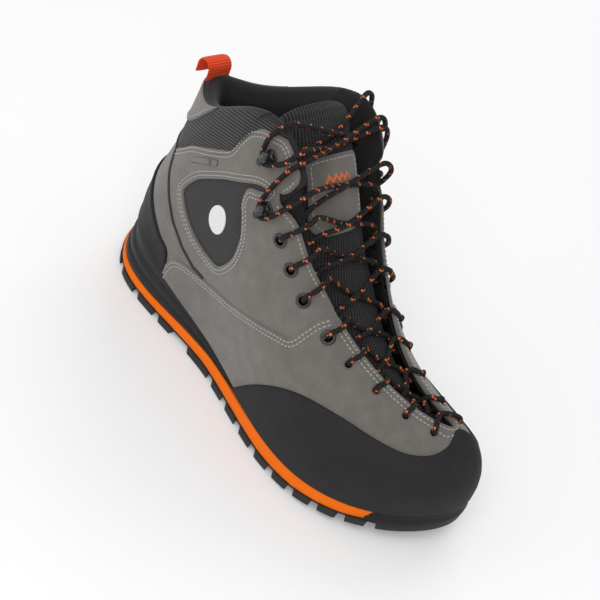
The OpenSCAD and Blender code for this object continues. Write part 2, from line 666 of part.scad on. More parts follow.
// Smooth curve through the points, with one more point in each span longer than the given one
function smooth(p, long) = [
  for (i = [0:len(p) - 2]) for (k = [0 : (norm(p[i + 1] - p[i]) > long ? 1 : 0)])
    let (
      t = k / 2,
      a = p[max(i - 1, 0)], b = p[i], c = p[i + 1], d = p[min(i + 2, len(p) - 1)]
    )
    b + 0.5 * t * (c - a + t * (2 * a - 5 * b + 4 * c - d + t * (3 * (b - c) + d - a))),
  p[len(p) - 1]
];
module lace() {
  color([0.13, 0.12, 0.12]) rod(smooth(lace_line, 2 * lace_d), lace_d, 8);
}
aglet_len = 20;
module aglet(tip, before) {
  color("black") rod([tip, tip + aglet_len * unit(tip - before)], lace_d * 0.9, 8);
}
module aglet_1() aglet(lace_line[0], lace_line[1]);
module aglet_2() aglet(lace_line[len(lace_line) - 1], lace_line[len(lace_line) - 2]);

outsole();
midsole();
stabiliser();
shank();
lasting_board();
footbed();
heel_cap();
toe_rand();
toe_puff();
heel_counter();
vamp();
lateral_quarter();
medial_quarter();
back_strip();
lateral_window();
medial_window();
lateral_badge();
medial_badge();
lateral_tag();
medial_tag();
collar_band();
collar_padding();
lining();
back_tab();
pull_loop();
tongue_shell();
tongue_padding();
tongue_lining();
tongue_patch();
tongue_motif();
eyelet_l1();
eyelet_l2();
eyelet_l3();
eyelet_l4();
eyelet_m1();
eyelet_m2();
eyelet_m3();
eyelet_m4();
hook_lateral_low();
hook_lateral_top();
hook_medial_low();
hook_medial_top();
lace();
aglet_1();
aglet_2();
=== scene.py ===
"""Looks of a right hiking boot: suede and mesh upper, rand, lugged sole, tongue, hooks, eyelets and lace.

The upper is one surface, the same as the CAD's. A point of it has a station s, from 0 at the toe over 5 at
the waist to 10 at the heel on the outer side (and -1 to -10 on the inner side), a height h, from 0 at the
sole to 1 at the rim, and a depth d in millimetres, positive outwards. Lengths are in millimetres until a
mesh is made.
"""
import math

import bmesh
import bpy
import numpy as np
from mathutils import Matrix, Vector
from mathutils.geometry import delaunay_2d_cdt
from mathutils.kdtree import KDTree


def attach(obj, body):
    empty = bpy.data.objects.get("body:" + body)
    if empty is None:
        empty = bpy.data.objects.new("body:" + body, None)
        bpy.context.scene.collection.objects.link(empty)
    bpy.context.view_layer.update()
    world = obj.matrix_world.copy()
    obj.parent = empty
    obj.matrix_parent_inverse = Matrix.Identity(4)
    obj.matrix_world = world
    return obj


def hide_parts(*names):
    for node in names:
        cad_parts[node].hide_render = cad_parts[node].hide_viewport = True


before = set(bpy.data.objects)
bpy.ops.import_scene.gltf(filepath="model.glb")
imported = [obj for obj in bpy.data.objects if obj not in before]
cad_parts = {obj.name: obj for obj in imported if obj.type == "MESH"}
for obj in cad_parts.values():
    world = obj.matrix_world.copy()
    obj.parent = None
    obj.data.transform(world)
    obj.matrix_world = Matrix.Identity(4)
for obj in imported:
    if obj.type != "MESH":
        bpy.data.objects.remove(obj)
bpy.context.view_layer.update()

MM = 0.001
rng = np.random.default_rng(7)

# ---- The upper's surface: four closed rows of 20 stations, x measured from the back of the heel ----

STATIONS = 20
HEEL_X = -150.0
FEATHER = [
    (296, 25, 30), (288, -3, 27), (262, -31, 21), (228, -46, 18), (192, -46, 17),
    (160, -41, 18), (128, -36, 21), (98, -36, 25), (66, -37, 31), (30, -32, 36),
    (6, 0, 38), (24, 31, 36), (62, 35, 31), (96, 34, 26), (126, 36, 22),
    (158, 41, 19), (190, 47, 18), (224, 52, 19), (258, 53, 22), (284, 44, 27),
]
BELLY = [
    (300, 25, 52), (293, -8, 50), (267, -38, 46), (232, -54, 48), (194, -54, 52),
    (160, -48, 58), (128, -44, 68), (98, -42, 78), (62, -42, 78), (26, -34, 74),
    (0, 0, 72), (22, 35, 72), (60, 41, 78), (96, 42, 78), (126, 44, 66),
    (158, 50, 54), (192, 56, 46), (226, 60, 42), (262, 58, 44), (288, 46, 48),
]
WAIST = [
    (284, 20, 80), (272, -12, 78), (250, -32, 80), (218, -44, 86), (188, -48, 98),
    (158, -50, 110), (130, -52, 126), (106, -48, 140), (74, -40, 138), (44, -30, 112),
    (26, 0, 112), (42, 30, 112), (74, 40, 138), (106, 46, 140), (132, 46, 124),
    (160, 42, 104), (190, 38, 86), (222, 34, 74), (252, 32, 74), (276, 30, 78),
]
RIM = [
    (273, 14, 80), (259, -1, 84), (236, -12, 90), (210, -21, 101), (184, -29, 118),
    (166, -35, 138), (150, -40, 165), (124, -41, 187), (84, -38, 177), (46, -25, 145),
    (16, 0, 147), (36, 24, 144), (76, 37, 172), (112, 37, 187), (144, 31, 165),
    (166, 25, 134), (188, 20, 114), (212, 13, 99), (238, 10, 89), (260, 12, 83),
]


def spline_row(points):
    """Control points of the closed curve that passes by the stations."""
    p = np.array(points, float) + (HEEL_X, 0, 0)
    return (8 * p - np.roll(p, 1, 0) - np.roll(p, -1, 0)) / 6


ROWS = [spline_row(row) for row in (FEATHER, BELLY, WAIST, RIM)]


def along(row, s):
    """Points of a closed row at stations s."""
    s = np.asarray(s, float)
    i = np.floor(s).astype(int)
    t = (s - i)[..., None]
    p = [ROWS[row][(i + k) % STATIONS] for k in (-1, 0, 1, 2)]
    return ((1 - t) ** 3 * p[0] + (3 * t**3 - 6 * t**2 + 4) * p[1]
            + (-3 * t**3 + 3 * t**2 + 3 * t + 1) * p[2] + t**3 * p[3]) / 6


def wall(s, h):
    """Points of the upper's outer face."""
    s, h = np.broadcast_arrays(np.asarray(s, float), np.asarray(h, float))
    g = h[..., None]
    return ((1 - g) ** 3 * along(0, s) + 3 * g * (1 - g) ** 2 * along(1, s)
            + 3 * g**2 * (1 - g) * along(2, s) + g**3 * along(3, s))


def unit(v):
    return v / np.linalg.norm(v, axis=-1, keepdims=True)


STEP = 0.01


def tangents(s, h):
    """How a point moves per station and per unit of height."""
    h = np.asarray(h, float)
    low = np.clip(h - STEP, 0, 1 - 2 * STEP)
    return ((wall(s + STEP, h) - wall(s - STEP, h)) / (2 * STEP),
            (wall(s, low + 2 * STEP) - wall(s, low)) / (2 * STEP))


def outward(s, h):
    """Unit normals of the upper."""
    across, up = tangents(np.asarray(s, float), h)
    return unit(np.cross(up, across))


def skin(s, h, d):
    """Points of the upper moved out by d."""
    return wall(s, h) + np.asarray(d, float)[..., None] * outward(s, h)


# ---- Mesh helpers ----

def make_mesh(name, points, faces, uv=None, smooth=True, flat_above=None):
    """Object from points in millimetres, its faces turned outwards. uv holds one pair for each point."""
    mesh = bpy.data.meshes.new(name)
    mesh.from_pydata((np.asarray(points, float) * MM).tolist(), [], [list(map(int, f)) for f in faces])
    work = bmesh.new()
    work.from_mesh(mesh)
    bmesh.ops.recalc_face_normals(work, faces=work.faces)
    work.to_mesh(mesh)
    work.free()
    if uv is not None:
        layer = mesh.uv_layers.new(name="UVMap")
        order = np.empty(len(mesh.loops), int)
        mesh.loops.foreach_get("vertex_index", order)
        layer.data.foreach_set("uv", (np.asarray(uv, float)[order]).astype(np.float32).ravel())
    if smooth:
        mesh.polygons.foreach_set("use_smooth", [True] * len(mesh.polygons))
    mesh.update()
    obj = bpy.data.objects.new(name, mesh)
    bpy.context.scene.collection.objects.link(obj)
    if flat_above:
        mesh.set_sharp_from_angle(angle=math.radians(flat_above))
    return obj


def finish_piece(obj, body, material, stands_for=()):
    """Gives a piece its body, material and the CAD nodes that it stands for."""
    obj.data.materials.append(material)
    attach(obj, body)
    if stands_for:
        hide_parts(*stands_for)
    return obj


def curve_through(points, step):
    """Smooth open line through points of any width, about one sample for each step of its length.

    Its knots are spaced by the square root of the distance, so that it stays tight where points are close.
    """
    p = np.asarray(points, float)
    if len(p) == 2:
        n = max(2, int(np.linalg.norm(p[1] - p[0]) / step))
        return p[0] + (p[1] - p[0]) * np.linspace(0, 1, n)[:, None]
    ends = np.vstack([2 * p[0] - p[1], p, 2 * p[-1] - p[-2]])
    knots = np.maximum(np.linalg.norm(np.diff(ends, axis=0), axis=1), 1e-9) ** 0.5
    out = []
    for i in range(len(p) - 1):
        a, b, c, d = ends[i:i + 4]
        ka, kb, kc = knots[i:i + 3]
        leave = kb * ((b - a) / ka - (c - a) / (ka + kb) + (c - b) / kb)
        arrive = kb * ((c - b) / kb - (d - b) / (kb + kc) + (d - c) / kc)
        n = max(2, int(np.linalg.norm(c - b) / step))
        t = np.linspace(0, 1, n, endpoint=False)[:, None]
        second, third = 3 * (c - b) - 2 * leave - arrive, 2 * (b - c) + leave + arrive
        out.append(b + t * (leave + t * (second + t * third)))
    return np.vstack(out + [p[-1:]])


def running_length(points):
    """Length of a line up to each of its points."""
    return np.concatenate([[0], np.cumsum(np.linalg.norm(np.diff(points, axis=0), axis=1))])


def points_at(at, length, points):
    """Points of a line at given lengths along it."""
    return np.stack([np.interp(at, length, column) for column in points.T], 1)


def resample(points, spacing, weight=None, closed=False):
    """Even samples of a line. weight maps its points to the space in which lengths are measured."""
    p = np.asarray(points, float)
    if closed:
        p = np.vstack([p, p[:1]])
    length = running_length(p if weight is None else weight(p))
    n = max(3, int(round(length[-1] / spacing)))
    at = np.linspace(0, length[-1], n + 1)
    return points_at(at[:-1] if closed else at, length, p)


def even_loop(line, count):
    """count even samples of a closed line whose last point repeats the first."""
    length = running_length(line)
    return points_at(np.linspace(0, length[-1], count, endpoint=False), length, line)


def ring_faces(rings, n):
    """Faces between rings of n points that follow each other."""
    return [(i * n + k, i * n + (k + 1) % n, (i + 1) * n + (k + 1) % n, (i + 1) * n + k)
            for i in range(rings - 1) for k in range(n)]


def end_faces(rings, n):
    """The first ring and the last one as faces."""
    last = (rings - 1) * n
    return [tuple(range(n - 1, -1, -1)), tuple(range(last, last + n))]


def section_faces(columns, n):
    """Faces of a closed body from sections of n points that run the other way round."""
    return [(a, d, c, b) for a, b, c, d in ring_faces(columns, n)] + [f[::-1] for f in end_faces(columns, n)]


# ---- Flat measures of the surface, for weaves and stitches ----

UV_S = np.linspace(-10.5, 20.5, 621)
UV_H = np.linspace(0, 1.1, 56)


def flat_tables():
    """Distance round the boot at mid height, and distance up the wall, both in millimetres."""
    middle = wall(UV_S, 0.45)
    round_it = running_length(middle)
    grid = wall(UV_S[:, None], UV_H[None, :])
    rise = np.linalg.norm(np.diff(grid, axis=1), axis=2)
    return round_it, np.concatenate([np.zeros((len(UV_S), 1)), np.cumsum(rise, axis=1)], 1)


ROUND, RISE = flat_tables()


def flat(s, h):
    """Texture coordinates of surface points, in units of 1 mm."""
    u = np.interp(s, UV_S, ROUND)
    i = np.clip((s - UV_S[0]) / (UV_S[1] - UV_S[0]), 0, len(UV_S) - 1.001)
    j = np.clip(h / (UV_H[1] - UV_H[0]), 0, len(UV_H) - 1.001)
    i0, j0 = i.astype(int), j.astype(int)
    a, b = i - i0, j - j0
    v = ((1 - a) * (1 - b) * RISE[i0, j0] + a * (1 - b) * RISE[i0 + 1, j0]
         + (1 - a) * b * RISE[i0, j0 + 1] + a * b * RISE[i0 + 1, j0 + 1])
    return np.stack([u, v], 1)


def on_wall(line):
    return wall(line[:, 0], line[:, 1])


def shift(line, distance, closed=False):
    """Moves a line of (s, h) points sideways in the surface by a distance in millimetres."""
    p = on_wall(line)
    if closed:
        t = unit(np.roll(p, -1, 0) - np.roll(p, 1, 0))
    else:
        t = unit(np.gradient(p, axis=0))
    across, up = tangents(line[:, 0], line[:, 1])
    normal = unit(np.cross(up, across))
    move = np.cross(normal, t) * np.asarray(distance, float)[..., None]
    aa, au, uu = (across * across).sum(1), (across * up).sum(1), (up * up).sum(1)
    ma, mu = (move * across).sum(1), (move * up).sum(1)
    det = aa * uu - au * au
    return line + np.stack([(ma * uu - mu * au) / det, (mu * aa - ma * au) / det], 1)


def within(points, loop):
    """Which points lie inside a closed loop (even-odd rule)."""
    x, y = points[:, 0], points[:, 1]
    inside = np.zeros(len(points), bool)
    for (x0, y0), (x1, y1) in zip(loop, np.roll(loop, -1, 0)):
        crosses = (y0 > y) != (y1 > y)
        with np.errstate(divide="ignore", invalid="ignore"):
            inside ^= crosses & (x < (x1 - x0) * (y - y0) / (y1 - y0) + x0)
    return inside


def outline(*segments):
    """Closed loop of (s, h) points from smooth segments that meet in corners."""
    return np.vstack([curve_through(seg, 0.03)[:-1] for seg in segments])


def ring_hole(s, h, radius, n=28):
    """Round hole of that radius in millimetres."""
    across, up = tangents(s, h)
    angle = np.linspace(0, math.tau, n, endpoint=False)
    e1 = unit(across)
    e2 = unit(up - (up @ e1) * e1)
    dh = radius * np.sin(angle) / (up @ e2)
    ds = (radius * np.cos(angle) - dh * (up @ e1)) / np.linalg.norm(across)
    return np.stack([s + ds, h + dh], 1)


def inward_sign(loop):
    """1 if a positive shift moves a closed loop inwards, -1 if it moves it outwards."""
    return 1 if within(shift(loop, 0.3, closed=True), loop).mean() > 0.5 else -1


def in_panel(points, loops):
    """Which points lie inside the first loop and outside the others."""
    ok = within(points, loops[0])
    for hole in loops[1:]:
        ok &= ~within(points, hole)
    return ok


# About how many millimetres a station and the full height are, to make triangles of even shape
FLAT_S, FLAT_H = 16.0, 95.0
RIM_RINGS = (0.3, 0.75, 1.3)


def panel_triangles(loops, edge, grid, spacing):
    """Points, triangles and a search tree of the outline's points, for a panel with holes."""
    rims, rings = [], []
    for k, loop in enumerate(loops):
        loop = resample(loop, spacing if k == 0 else spacing * 0.6, on_wall, closed=True)
        sign = inward_sign(loop) * (1 if k == 0 else -1)
        rims.append(loop)
        rings += [shift(loop, sign * part * edge, closed=True) for part in RIM_RINGS]
    lows, highs = rims[0].min(0), rims[0].max(0)
    cells = [(s, h) for s in np.arange(lows[0], highs[0], grid / FLAT_S)
             for h in np.arange(lows[1], highs[1], grid / FLAT_H)]
    fill = np.array(cells) + rng.normal(0, 0.02, (len(cells), 2)) * (grid / FLAT_S, grid / FLAT_H)
    edge_points = np.vstack(rims)
    tree = KDTree(len(edge_points))
    for i, p in enumerate(on_wall(edge_points)):
        tree.insert(p, i)
    tree.balance()

    def keep(points, clear):
        """Those points in the panel that are clear of its outline."""
        points = points[in_panel(points, rims)]
        far = np.array([tree.find(p)[2] > clear for p in on_wall(points)], bool)
        return points[far]

    points = np.vstack([edge_points, keep(np.vstack(rings), 0.2 * edge), keep(fill, 1.3 * edge + 0.3 * grid)])
    edges, start = [], 0
    for rim in rims:
        n = len(rim)
        edges += [(start + i, start + (i + 1) % n) for i in range(n)]
        start += n
    flat_points = [Vector((s * FLAT_S, h * FLAT_H)) for s, h in points]
    out = delaunay_2d_cdt(flat_points, edges, [], 0, 1e-5)
    points = np.array([(v.x / FLAT_S, v.y / FLAT_H) for v in out[0]])
    tris = np.array(out[2])
    tris = tris[in_panel(points[tris].mean(1), rims)]
    used, tris = np.unique(tris, return_inverse=True)
    return points[used], tris.reshape(-1, 3), tree


def panel_mesh(name, loops, top, bottom, edge=0.9, grid=2.4, spacing=1.3):
    """Sheet of material with an outline, holes, rounded edges and a back, lying on the upper.

    top and bottom are depths, or functions of s, h and the distance from the nearest edge.
    """
    points, tris, tree = panel_triangles(loops, edge, grid, spacing)
    s, h = points.T
    dist = np.array([tree.find(p)[2] for p in wall(s, h)])
    high = top(s, h, dist) if callable(top) else top
    low = bottom(s, h, dist) if callable(bottom) else bottom
    rise = np.clip(dist / edge, 0, 1)
    high = low + (high - low) * (0.45 + 0.55 * np.sqrt(1 - (1 - rise) ** 2))
    upper, lower = skin(s, h, high), skin(s, h, low)
    # All triangles are turned outwards, so that only an edge of the outline lacks its opposite
    a, b, c = (upper[tris[:, k]] for k in range(3))
    facing = (np.cross(b - a, c - a) * outward(s, h)[tris[:, 0]]).sum(1)
    tris[facing < 0] = tris[facing < 0][:, ::-1]
    sides = dict.fromkeys(side for x, y, z in tris for side in ((x, y), (y, z), (z, x)))
    border = [(x, y) for x, y in sides if (y, x) not in sides]
    n = len(s)
    faces = [tuple(f) for f in tris] + [tuple(n + f[::-1]) for f in tris]
    faces += [(y, x, n + x, n + y) for x, y in border]
    return make_mesh(name, np.vstack([upper, lower]), faces, np.tile(flat(s, h), (2, 1)))


# ---- Camera ----

CAMERA_AT, CAMERA_TURN = (0.3512, -0.5073, 0.5786), (47.97, -18.41, 50.73)
LENS, SENSOR_WIDTH = 78.7, 36


def make_camera():
    data = bpy.data.cameras.new("camera")
    data.lens, data.sensor_width = LENS, SENSOR_WIDTH
    cam = bpy.data.objects.new("camera", data)
    cam.location = CAMERA_AT
    cam.rotation_euler = [math.radians(a) for a in CAMERA_TURN]
    bpy.context.scene.collection.objects.link(cam)
    bpy.context.scene.camera = cam


# ---- Materials ----

class Shader:
    """A principled material with a few helpers for its nodes."""

    def __init__(self, name, color, roughness, **sockets):
        self.material = bpy.data.materials.new(name)
        self.material.use_nodes = True
        self.material.diffuse_color = (*color, 1)
        self.tree = self.material.node_tree
        self.shader = self.tree.nodes["Principled BSDF"]
        self.shader.inputs["Base Color"].default_value = (*color, 1)
        self.shader.inputs["Roughness"].default_value = roughness
        for key, value in sockets.items():
            self.shader.inputs[key.replace("_", " ")].default_value = value

    def node(self, kind, **values):
        node = self.tree.nodes.new(kind)
        for key, value in values.items():
            if hasattr(node, key):
                setattr(node, key, value)
            else:
                node.inputs[key.replace("_", " ")].default_value = value
        return node

    def link(self, a, b):
        self.tree.links.new(a, b)

    def place(self, kind="Object", scale=(1000, 1000, 1000), turn=0):
        """Coordinates in millimetres, from the object or from its UV map."""
        coord = self.node("ShaderNodeTexCoord")
        mapping = self.node("ShaderNodeMapping")
        mapping.inputs["Scale"].default_value = scale
        mapping.inputs["Rotation"].default_value = (0, 0, math.radians(turn))
        self.link(coord.outputs[kind], mapping.inputs["Vector"])
        return mapping.outputs["Vector"]

    def noise(self, at, scale, detail, roughness=0.6):
        node = self.node("ShaderNodeTexNoise", Scale=scale, Detail=detail, Roughness=roughness)
        self.link(at, node.inputs["Vector"])
        return node.outputs["Fac"]

    def wave(self, at, scale, direction, distortion):
        node = self.node("ShaderNodeTexWave", bands_direction=direction, Scale=scale, Distortion=distortion)
        self.link(at, node.inputs["Vector"])
        return node.outputs["Fac"]

    def math(self, operation, a, b):
        node = self.node("ShaderNodeMath", operation=operation)
        for socket, value in zip(node.inputs, (a, b)):
            if isinstance(value, (int, float)):
                socket.default_value = value
            else:
                self.link(value, socket)
        return node.outputs[0]

    def ramp(self, factor, stops):
        node = self.node("ShaderNodeValToRGB")
        for i, (at, color) in enumerate(stops):
            e = node.color_ramp.elements[i] if i < 2 else node.color_ramp.elements.new(at)
            e.position = at
            e.color = (*color, 1)
        self.link(factor, node.inputs["Fac"])
        return node.outputs["Color"]

    def mix(self, factor, a, b, blend="MIX"):
        node = self.node("ShaderNodeMix", data_type="RGBA", blend_type=blend)
        for socket, value in ((node.inputs["Factor"], factor), (node.inputs["A"], a), (node.inputs["B"], b)):
            if isinstance(value, (int, float)):
                socket.default_value = value
            elif isinstance(value, tuple):
                socket.default_value = (*value, 1)
            else:
                self.link(value, socket)
        return node.outputs["Result"]

    def color(self, output):
        self.link(output, self.shader.inputs["Base Color"])

    def rough(self, factor, low, high):
        node = self.node("ShaderNodeMapRange", To_Min=low, To_Max=high)
        self.link(factor, node.inputs["Value"])
        self.link(node.outputs["Result"], self.shader.inputs["Roughness"])

    def bump(self, height, depth_mm):
        node = self.node("ShaderNodeBump", Strength=1, Distance=depth_mm * MM)
        self.link(height, node.inputs["Height"])
        self.link(node.outputs["Normal"], self.shader.inputs["Normal"])
        return self.material


def shade(color, factor, add=0.0):
    """Colour times a factor, no channel above 1."""
    return tuple(min(1, factor * c + add) for c in color)


def suede(name, color, worn):
    """Short nap: soft blotches, fine fibres and sheen."""
    m = Shader(name, color, 0.9, Sheen_Weight=0.35, Sheen_Roughness=0.45, Specular_IOR_Level=0.25)
    at = m.place()
    blotch, nap = m.noise(at, 0.09, 4), m.noise(at, 1.6, 5, 0.75)
    tone = m.ramp(blotch, [(0.3, shade(color, 0.92)), (0.7, worn)])
    grain = m.ramp(nap, [(0.25, (0.68, 0.68, 0.68)), (0.75, (1.15, 1.15, 1.15))])
    m.color(m.mix(0.8, tone, grain, "MULTIPLY"))
    return m.bump(m.math("ADD", nap, m.math("MULTIPLY", m.noise(at, 0.45, 3), 0.8)), 0.28)


def ribbed(name, dark, light, pitch, turn, rough, depth, inside=None):
    """Woven textile with ribs at a pitch in millimetres and a finer thread across them.

    With a colour for the inside it turns smooth where the mesh's attribute "inside" is 1.
    """
    m = Shader(name, dark, rough, Sheen_Weight=0.08, Sheen_Roughness=0.5, Specular_IOR_Level=0.3)
    at = m.place("UV", (1, 1, 1), turn)
    ribs = m.wave(at, math.tau / (20 * pitch), "X", 0.6)
    thread = m.wave(at, math.tau / (20 * pitch * 0.6), "Y", 0.4)
    height = m.math("MULTIPLY", ribs, m.math("ADD", m.math("MULTIPLY", thread, 0.7), 0.3))
    fuzz = m.noise(at, 2.5, 3)
    tone = m.math("MULTIPLY", height, m.math("ADD", fuzz, 0.5))
    # Painted shade and painted highlight: the colour runs from dark in the grooves to light on the rib
    # crests, mixed with random fuzz
    color = m.ramp(tone, [(0.1, dark), (0.9, light)])
    if inside:
        part = m.node("ShaderNodeAttribute", attribute_name="inside").outputs["Fac"]
        height = m.math("MULTIPLY", height, m.math("SUBTRACT", 1, part))
        soft = m.ramp(fuzz, [(0.3, shade(inside, 0.75)), (0.7, inside)])
        color = m.mix(part, color, soft)
    m.color(color)
    m.rough(fuzz, rough - 0.12, rough + 0.1)
    return m.bump(height, depth)


def rubber(name, color, rough, grain=0.05):
    """Moulded rubber: fine grain, faint dust in it and slight scuffs."""
    m = Shader(name, color, rough, Specular_IOR_Level=0.3)
    at = m.place()
    fine, wide = m.noise(at, 2.2, 3), m.noise(at, 0.07, 4)
    scuff = m.noise(at, 0.6, 6, 0.7)
    tone = m.math("ADD", m.math("MULTIPLY", wide, 0.7), m.math("MULTIPLY", scuff, 0.3))
    m.color(m.ramp(tone, [(0.3, shade(color, 0.8)), (0.72, shade(color, 1.3))]))
    m.rough(scuff, rough - 0.08, rough + 0.12)
    return m.bump(fine, grain)


def metal(name, color, rough, metallic=1.0, coat=0.0):
    """Bare or lacquered metal with light wear."""
    m = Shader(name, color, rough, Metallic=metallic, Coat_Weight=coat, Coat_Roughness=0.15)
    at = m.place()
    wear = m.noise(at, 0.9, 5, 0.7)
    m.color(m.ramp(wear, [(0.35, color), (0.8, shade(color, 1.6, 0.02))]))
    m.rough(wear, rough - 0.05, rough + 0.15)
    return m.bump(m.noise(at, 3, 2), 0.02)


def thread(name, color):
    """Twisted yarn."""
    m = Shader(name, color, 0.75, Sheen_Weight=0.2)
    at = m.place("UV", (1, 1, 1), 35)
    twist = m.wave(at, 0.6, "X", 0.3)
    # Painted shade: the yarn's colour darkens in the grooves of its twist, following the same wave as its
    # bump
    m.color(m.ramp(twist, [(0.1, shade(color, 0.55)), (0.8, color)]))
    return m.bump(twist, 0.15)


def braid(name, ground, fleck):
    """Round braid. U runs from 0 to 1 round it, V in millimetres along it; flecks lie in pairs."""
    m = Shader(name, ground, 0.78, Specular_IOR_Level=0.25)
    coord = m.node("ShaderNodeTexCoord")
    split = m.node("ShaderNodeSeparateXYZ")
    m.link(coord.outputs["UV"], split.inputs[0])
    u, v = split.outputs[0], split.outputs[1]
    strands = []
    for sign in (1, -1):
        slant = m.math("MULTIPLY", v, sign * math.tau / 2.4)
        phase = m.math("ADD", m.math("MULTIPLY", u, math.tau * 4), slant)
        strands.append(m.math("SINE", phase, 0))
    height = m.math("MAXIMUM", strands[0], strands[1])
    # Painted shade and painted highlight: the braid is darkened between its strands and brightened on their
    # crests, from 0.35 to 1.5 times its ground colour
    tone = m.ramp(m.math("MULTIPLY", m.math("ADD", height, 1), 0.5),
                  [(0.25, shade(ground, 0.35)), (0.95, shade(ground, 1.5))])
    spots = []
    for late, turned in ((0, 0), (1.5, 1.7)):
        along_it = m.math("SINE", m.math("MULTIPLY", m.math("ADD", v, late), math.tau / 9), 0)
        around_it = m.math("SINE", m.math("ADD", m.math("MULTIPLY", u, math.tau * 2), turned), 0)
        spots.append(m.math("MULTIPLY", m.math("GREATER_THAN", along_it, 0.93),
                            m.math("GREATER_THAN", around_it, 0.45)))
    m.color(m.mix(m.math("MAXIMUM", *spots), tone, fleck))
    return m.bump(height, 0.25)


def plain(name, color, rough, scale=1.0, depth=0.06, **sockets):
    """Even material with a fine grain."""
    m = Shader(name, color, rough, **sockets)
    at = m.place()
    grain = m.noise(at, scale, 4)
    m.color(m.ramp(grain, [(0.3, shade(color, 0.8)), (0.75, shade(color, 1.12))]))
    return m.bump(grain, depth)


GREY = (0.158, 0.146, 0.131)
MATERIALS = {
    "suede": suede("grey_suede", GREY, (0.188, 0.175, 0.158)),
    "tag": suede("pressed_suede", (0.085, 0.08, 0.073), (0.11, 0.103, 0.095)),
    "window_mesh": ribbed("window_mesh", (0.003, 0.0028, 0.0034), (0.08, 0.076, 0.084), 1.5, 78, 0.7, 0.3),
    "collar_mesh": ribbed("collar_mesh", (0.005, 0.0045, 0.0055), (0.1, 0.096, 0.1), 1.9, 118, 0.75, 0.35,
                          (0.017, 0.016, 0.017)),
    "tongue_mesh": ribbed("tongue_mesh", (0.004, 0.004, 0.005), (0.058, 0.056, 0.058), 1.9, 12, 0.8, 0.4),
    "lining": ribbed("lining_textile", (0.005, 0.005, 0.006), (0.016, 0.016, 0.017), 1.0, 45, 0.9, 0.2),
    "webbing": ribbed("loop_webbing", (0.75, 0.035, 0.003), (1.0, 0.12, 0.008), 1.6, 90, 0.7, 0.4),
    "rand": rubber("rand_rubber", (0.015, 0.0145, 0.015), 0.7),
    "cap": rubber("cap_rubber", (0.009, 0.0085, 0.0095), 0.6),
    "tread": rubber("tread_rubber", (0.022, 0.021, 0.022), 0.62, 0.08),
    "stabiliser": rubber("stabiliser_rubber", (0.015, 0.0145, 0.0165), 0.5),
    "foam": plain("orange_foam", (1.0, 0.17, 0.001), 0.6, 1.8, 0.05, Specular_IOR_Level=0.15),
    "piping": plain("piping", (0.02, 0.019, 0.019), 0.7),
    "stitch": thread("stitch_thread", (0.5, 0.49, 0.465)),
    "motif": thread("motif_thread", (0.95, 0.2, 0.02)),
    "badge": plain("badge_film", (0.8, 0.8, 0.79), 0.4, 3.0, 0.02),
    "eyelet": metal("gunmetal", (0.055, 0.055, 0.058), 0.32),
    "hook": metal("black_lacquer", (0.007, 0.0085, 0.009), 0.22, 0.0, 0.25),
    "aglet": plain("aglet_plastic", (0.015, 0.015, 0.015), 0.25, 1.0, 0.02),
    "lace": braid("lace_braid", (0.012, 0.012, 0.012), (0.72, 0.15, 0.035)),
    "felt": plain("footbed_felt", (0.03, 0.03, 0.033), 0.95, 2.0, 0.3),
    "board": plain("fibre_board", (0.5, 0.42, 0.3), 0.85, 0.8, 0.1),
    "steel": metal("spring_steel", (0.5, 0.5, 0.52), 0.3),
    "stiffener": plain("stiffener_sheet", (0.5, 0.4, 0.28), 0.7, 1.0, 0.1),
}


# ---- The boot's own dimensions, in millimetres, the same as the CAD's ----

SUEDE_IN = -1.5
LINING_IN = -4.2
LACE_D = 3.2
LACE_R = LACE_D / 2
HOOKS = [(6.9, 0.9), (6.25, 0.79)]
RINGS = [(5.6, 0.82), (5, 0.83), (4.35, 0.83), (3.5, 0.86)]
HOLES = [(2.9, 0.87), (2.2, 0.89), (1.45, 0.88), (0.8, 0.84)]
POSTS = HOOKS + RINGS + HOLES
EYELET_BORE, EYELET_D = 5, 9
HOOK_REACH, HOOK_NECK_D = 7.6, 4
TONGUE_DROP, ARCH = 7.8, 6


def lookup(x, table):
    xs, ys = zip(*table)
    return np.interp(x, xs, ys)


def from_toe(s):
    """Distance from the toe in stations, 0 to 10, on either side."""
    s = np.abs(np.asarray(s, float))
    return np.minimum(s, STATIONS - s)


def flip(points):
    """The same line on the inner side."""
    return [(-s, h) for s, h in points]


def sided(points, side):
    return points if side > 0 else flip(points)


def smoothstep(x):
    x = np.clip(x, 0, 1)
    return x * x * (3 - 2 * x)


# ---- Outlines of the panels, as (s, h) points on the outer side ----

VAMP_TOP = [(3.54, 1), (3.71, 0.94), (3.87, 0.85), (4.01, 0.74), (4.14, 0.64), (4.43, 0.58),
            (5.15, 0.45), (5.95, 0.32), (6.88, 0.22), (7.29, 0.19), (7.67, 0.15), (7.84, 0.1),
            (7.98, 0)]
PIPING = [(6.2, 0.26), (6.75, 0.23), (7.2, 0.21), (7.6, 0.23), (8.03, 0.29), (8.38, 0.38), (8.76, 0.5),
          (9.09, 0.63)]
UNDER_VAMP = [(3.3, 0.985), (3.45, 0.9), (3.62, 0.76), (3.8, 0.6), (4.2, 0.5), (5, 0.38), (5.8, 0.27),
              (6.2, 0.26)]
CUFF = [(9.09, 0.63), (8.61, 0.72), (8.16, 0.73), (7.84, 0.75), (7.65, 0.79), (7.63, 0.85),
        (7.58, 0.91), (7.4, 0.95), (7.16, 0.975), (6.95, 1)]
RIM_LINE = [(6.95, 1), (6.66, 1), (6.46, 1), (6.33, 1)]
CUFF_FRONT = [(6.33, 1), (6.22, 0.98), (6.19, 0.94), (6.23, 0.9), (6.32, 0.875)]
FLAP = [(6.32, 0.875), (6.17, 0.865), (6, 0.885), (5.85, 0.91), (5.65, 0.935), (5.45, 0.95)]
THROAT = [(5.45, 0.95), (4.77, 0.97), (4, 1), (3.3, 0.99)]
WINDOW_BACK = [(8.08, 0.43), (8.15, 0.46), (8.02, 0.53), (7.6, 0.61), (7.09, 0.7), (6.69, 0.79),
               (6.44, 0.83)]
